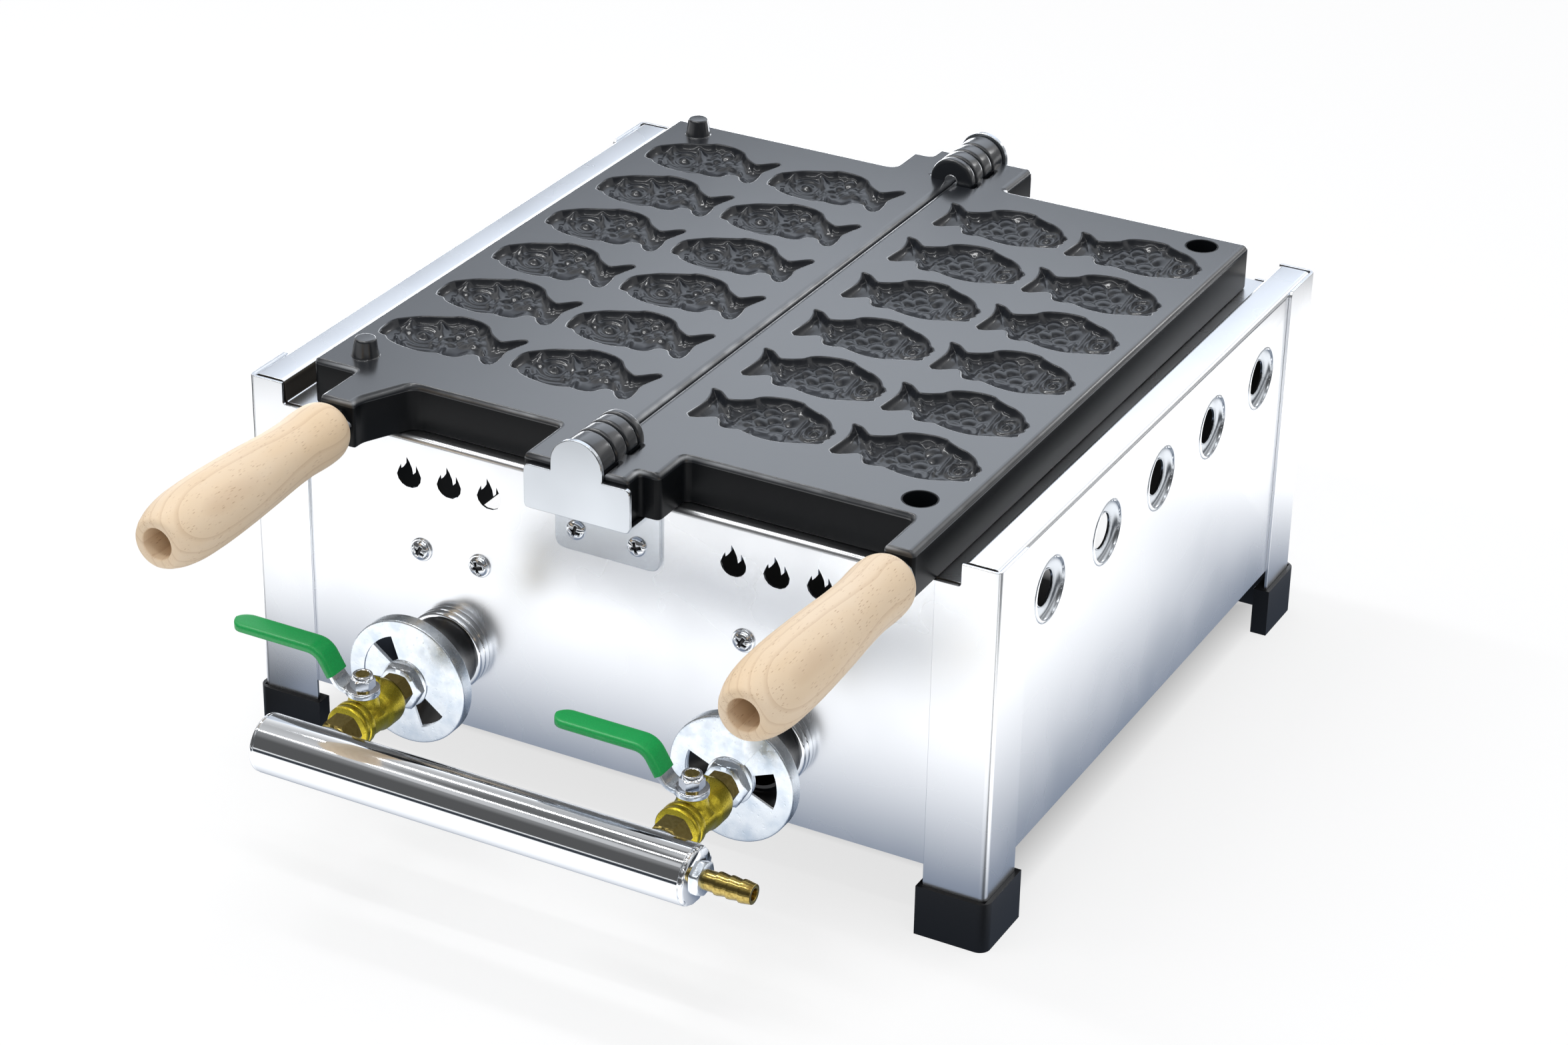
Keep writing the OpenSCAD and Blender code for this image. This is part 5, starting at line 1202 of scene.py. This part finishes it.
def floor_paint(studio):
    """Matt floor. To the camera it is lifted towards white and keeps the shadow. Polished metal sees in it a
    bank of cards: grey close to the object, white further off, grey again beyond, dark off the corners."""
    material, add, shader, place = blank("floor_paint", studio.floor, 0, 0.9, Specular_IOR_Level=0.0)
    x, y = (add("SeparateXYZ", [place], out=axis) for axis in "XY")
    # Distances past the body's sides and ends, negative under it
    side, end = (add("Math", [add("Math", [add("Math", [along, middle], operation="SUBTRACT")],
                                  operation="ABSOLUTE"), half], operation="SUBTRACT")
                 for along, middle, half in ((x, 0.0, CAD_BOX[1][0]),
                                             (y, float(MIDDLE[1] + ORIGIN[1]) * MM, float(MIDDLE[1]) * MM)))
    inward = add("Math", [side, end], operation="MAXIMUM")
    wide = add("Math", [side, add("MapRange", [end, 0.0, 0.12, 1.7, 1.0])], operation="MULTIPLY")
    flat = add("CombineXYZ", [add("Math", [wide, 0.0], operation="MAXIMUM"),
                              add("Math", [end, 0.0], operation="MAXIMUM")])
    away = add("VectorMath", [flat], out="Value", operation="LENGTH")
    # Less light behind the rear panel, whose reflection would be plain white
    rear = add("Math", [add("MapRange", [y, 0.2, 0.26]), add("MapRange", [x, 0.24, 0.16])], operation="MULTIPLY")
    lifted = layered(add, (1.5, 1.5, 1.5), (rear, (0.62, 0.65, 0.7)))
    # The dark strip runs from each front corner at 28 degrees to the sides
    off_line = add("Math", [add("VectorMath", [flat, (0.47, -0.88, 0)], out="Value", operation="DOT_PRODUCT")],
                   operation="ABSOLUTE")
    dark = add("MapRange", [off_line, 0.02, 0.07, 0.85, 0.0])
    for share in (add("MapRange", [add("Math", [side, end], operation="MINIMUM"), 0.0, 0.02]),
                  add("MapRange", [y, -0.05, 0.05, 1.0, 0.0])):
        dark = add("Math", [dark, share], operation="MULTIPLY")
    dark = add("Math", [dark, add("MapRange", [inward, -0.07, 0.0, 1.0, 0.0])], operation="MAXIMUM")
    tone = layered(add, studio.near, (add("MapRange", [away, 0.055, 0.23]), lifted),
                   (add("MapRange", [away, 0.50, 0.60]), studio.far), (add("MapRange", [away, 1.2, 2.5]), (1, 1, 1)),
                   (dark, (0.02, 0.025, 0.03)))
    camera, gloss = (add("LightPath", out=name) for name in ("Is Camera Ray", "Is Glossy Ray"))
    # The lit rim of floor under the body is wide at the front, where it shows, and narrow elsewhere
    rim = add("MapRange", [y, 0.0, 0.1, 0.0, -0.07])
    under = add("Math", [add("MapRange", [add("Math", [end, rim], operation="ADD"), -0.11, -0.06]),
                         add("MapRange", [side, -0.07, -0.01])], operation="MAXIMUM")
    # Under the body the floor's own colour to the camera is darkened: a painted shadow
    shown = layered(add, scaled_colour(studio.floor, 0.12), (under, scaled_colour(studio.floor, 0.32)))
    layered(add, studio.floor, (camera, shown), (gloss, (0, 0, 0)), to=shader["Base Color"])
    # The body keeps the glow off the floor under it
    lit = add("Math", [camera, under], operation="MULTIPLY")
    layered(add, (0, 0, 0), (lit, (0.74, 0.74, 0.74)), (gloss, tone), to=shader["Emission Color"])
    shader["Emission Strength"].default_value = 1.0
    return material


def backdrop_card():
    """A graded card behind the object that only polished and coated surfaces see: bright at its top."""
    material, add, shader, place = blank("backdrop_card", (0, 0, 0), 0, 1.0, Emission_Strength=1.0)
    up = add("SeparateXYZ", [place], out="Z")
    slant = add("VectorMath", [place, (1, 0, 1.03)], out="Value", operation="DOT_PRODUCT")
    foot = add("MapRange", [up, 0.35, 0.37, 1.0, 0.0])
    bright = add("Math", [add("MapRange", [up, 0.58, 0.92], interpolation_type="SMOOTHSTEP"),
                          add("MapRange", [slant, -0.1, 0.25, 0.38, 1.0], interpolation_type="SMOOTHSTEP")],
                 operation="MULTIPLY")
    layered(add, (0.08, 0.09, 0.11), (bright, (1.42, 1.52, 1.67)), (foot, (6.0, 6.2, 6.5)),
            to=shader["Emission Color"])
    card = staged_quad("backdrop_card", [(-2.2, 1.35, 0), (0.3, 1.35, 0), (0.3, 1.35, 1.9), (-2.2, 1.35, 1.9)],
                       material)
    card.visible_camera = card.visible_diffuse = card.visible_shadow = card.visible_transmission = False


def studio_sky(studio):
    """White to the camera, even light on the object, and a banded ceiling in what polished metal sees."""
    world = bpy.data.worlds.new("studio_sky")
    world.use_nodes = True
    world.node_tree.nodes.clear()
    add = partial(node, world.node_tree)
    camera, gloss, clear = (add("LightPath", out=name) for name in
                            ("Is Camera Ray", "Is Glossy Ray", "Is Transmission Ray"))
    # Height of a direction is the sine of its angle above the horizon
    ahead, height = (add("SeparateXYZ", [add("TexCoord", out="Generated")], out=axis) for axis in "YZ")
    bands = []
    for band, *steps in ((0.1, (0.5, 0.68, 0.24), (0.7, 0.74, 0.6), (0.82, 0.87, 0.14), (0.93, 0.98, 1.0)),
                         (0.35, (0.2, 0.4, 0.95), (0.6, 0.8, 0.5), (0.86, 0.9, 0.16), (0.93, 0.98, 1.0))):
        for start, end, value in steps:
            share = add("MapRange", [height, start, end], interpolation_type="SMOOTHSTEP")
            band = add("Mix", {0: share, 2: band, 3: value})
        bands.append(band)
    band = add("Mix", {0: add("MapRange", [ahead, -0.12, 0.12]), 2: bands[0], 3: bands[1]})
    strength = add("Mix", {0: gloss, 2: studio.sky, 3: band})
    strength = add("Mix", {0: add("Math", [camera, clear], operation="MAXIMUM"), 2: strength, 3: 1.0})
    out = world.node_tree.nodes.new("ShaderNodeOutputWorld")
    add("Background", {"Color": (1, 1, 1), "Strength": strength}, to=out.inputs[0])
    return world


def lamp(name, place, aim, width, height, radiance):
    """A rectangular softbox; its power is radiance times pi times its area."""
    light = bpy.data.lights.new(name, "AREA")
    light.shape = "RECTANGLE"
    light.size, light.size_y = width, height
    light.energy = radiance * np.pi * width * height
    made = bpy.data.objects.new(name, light)
    made.location = place
    made.rotation_euler = (Vector(aim) - Vector(place)).to_track_quat("-Z", "Y").to_euler()
    bpy.context.scene.collection.objects.link(made)


class TAIYAKI_PT_panel(bpy.types.Panel):
    """Lists the sizes and colours, and the steps that build the object"""
    bl_idname = "TAIYAKI_PT_panel"
    bl_label = "Taiyaki maker"
    bl_space_type = "VIEW_3D"
    bl_region_type = "UI"
    bl_category = "Taiyaki"

    def draw(self, context):
        for group in (context.scene.taiyaki_sizes, context.scene.taiyaki_colours, context.scene.taiyaki_studio):
            box = self.layout.box()
            for key in group.bl_rna.properties.keys():
                if key not in ("rna_type", "name"):
                    box.prop(group, key)
        for step in STEPS:
            self.layout.operator(step.bl_idname)


STEPS = (TAIYAKI_OT_studio, TAIYAKI_OT_stand, TAIYAKI_OT_plates, TAIYAKI_OT_handles, TAIYAKI_OT_mixers,
         TAIYAKI_OT_valves, TAIYAKI_OT_manifold)
GROUPS = {"taiyaki_colours": TaiyakiColours, "taiyaki_sizes": TaiyakiSizes, "taiyaki_studio": TaiyakiStudio}


def register():
    for made in (*GROUPS.values(), *STEPS, TAIYAKI_PT_panel):
        bpy.utils.register_class(made)
    for key, group in GROUPS.items():
        setattr(bpy.types.Scene, key, PointerProperty(type=group))


def unregister():
    for key in GROUPS:
        delattr(bpy.types.Scene, key)
    for made in (TAIYAKI_PT_panel, *STEPS[::-1], *GROUPS.values()):
        bpy.utils.unregister_class(made)


def main():
    register()
    make_finishes()
    for step in STEPS:
        family, call = step.bl_idname.split(".")
        getattr(getattr(bpy.ops, family), call)()


if __name__ == "__main__":
    main()
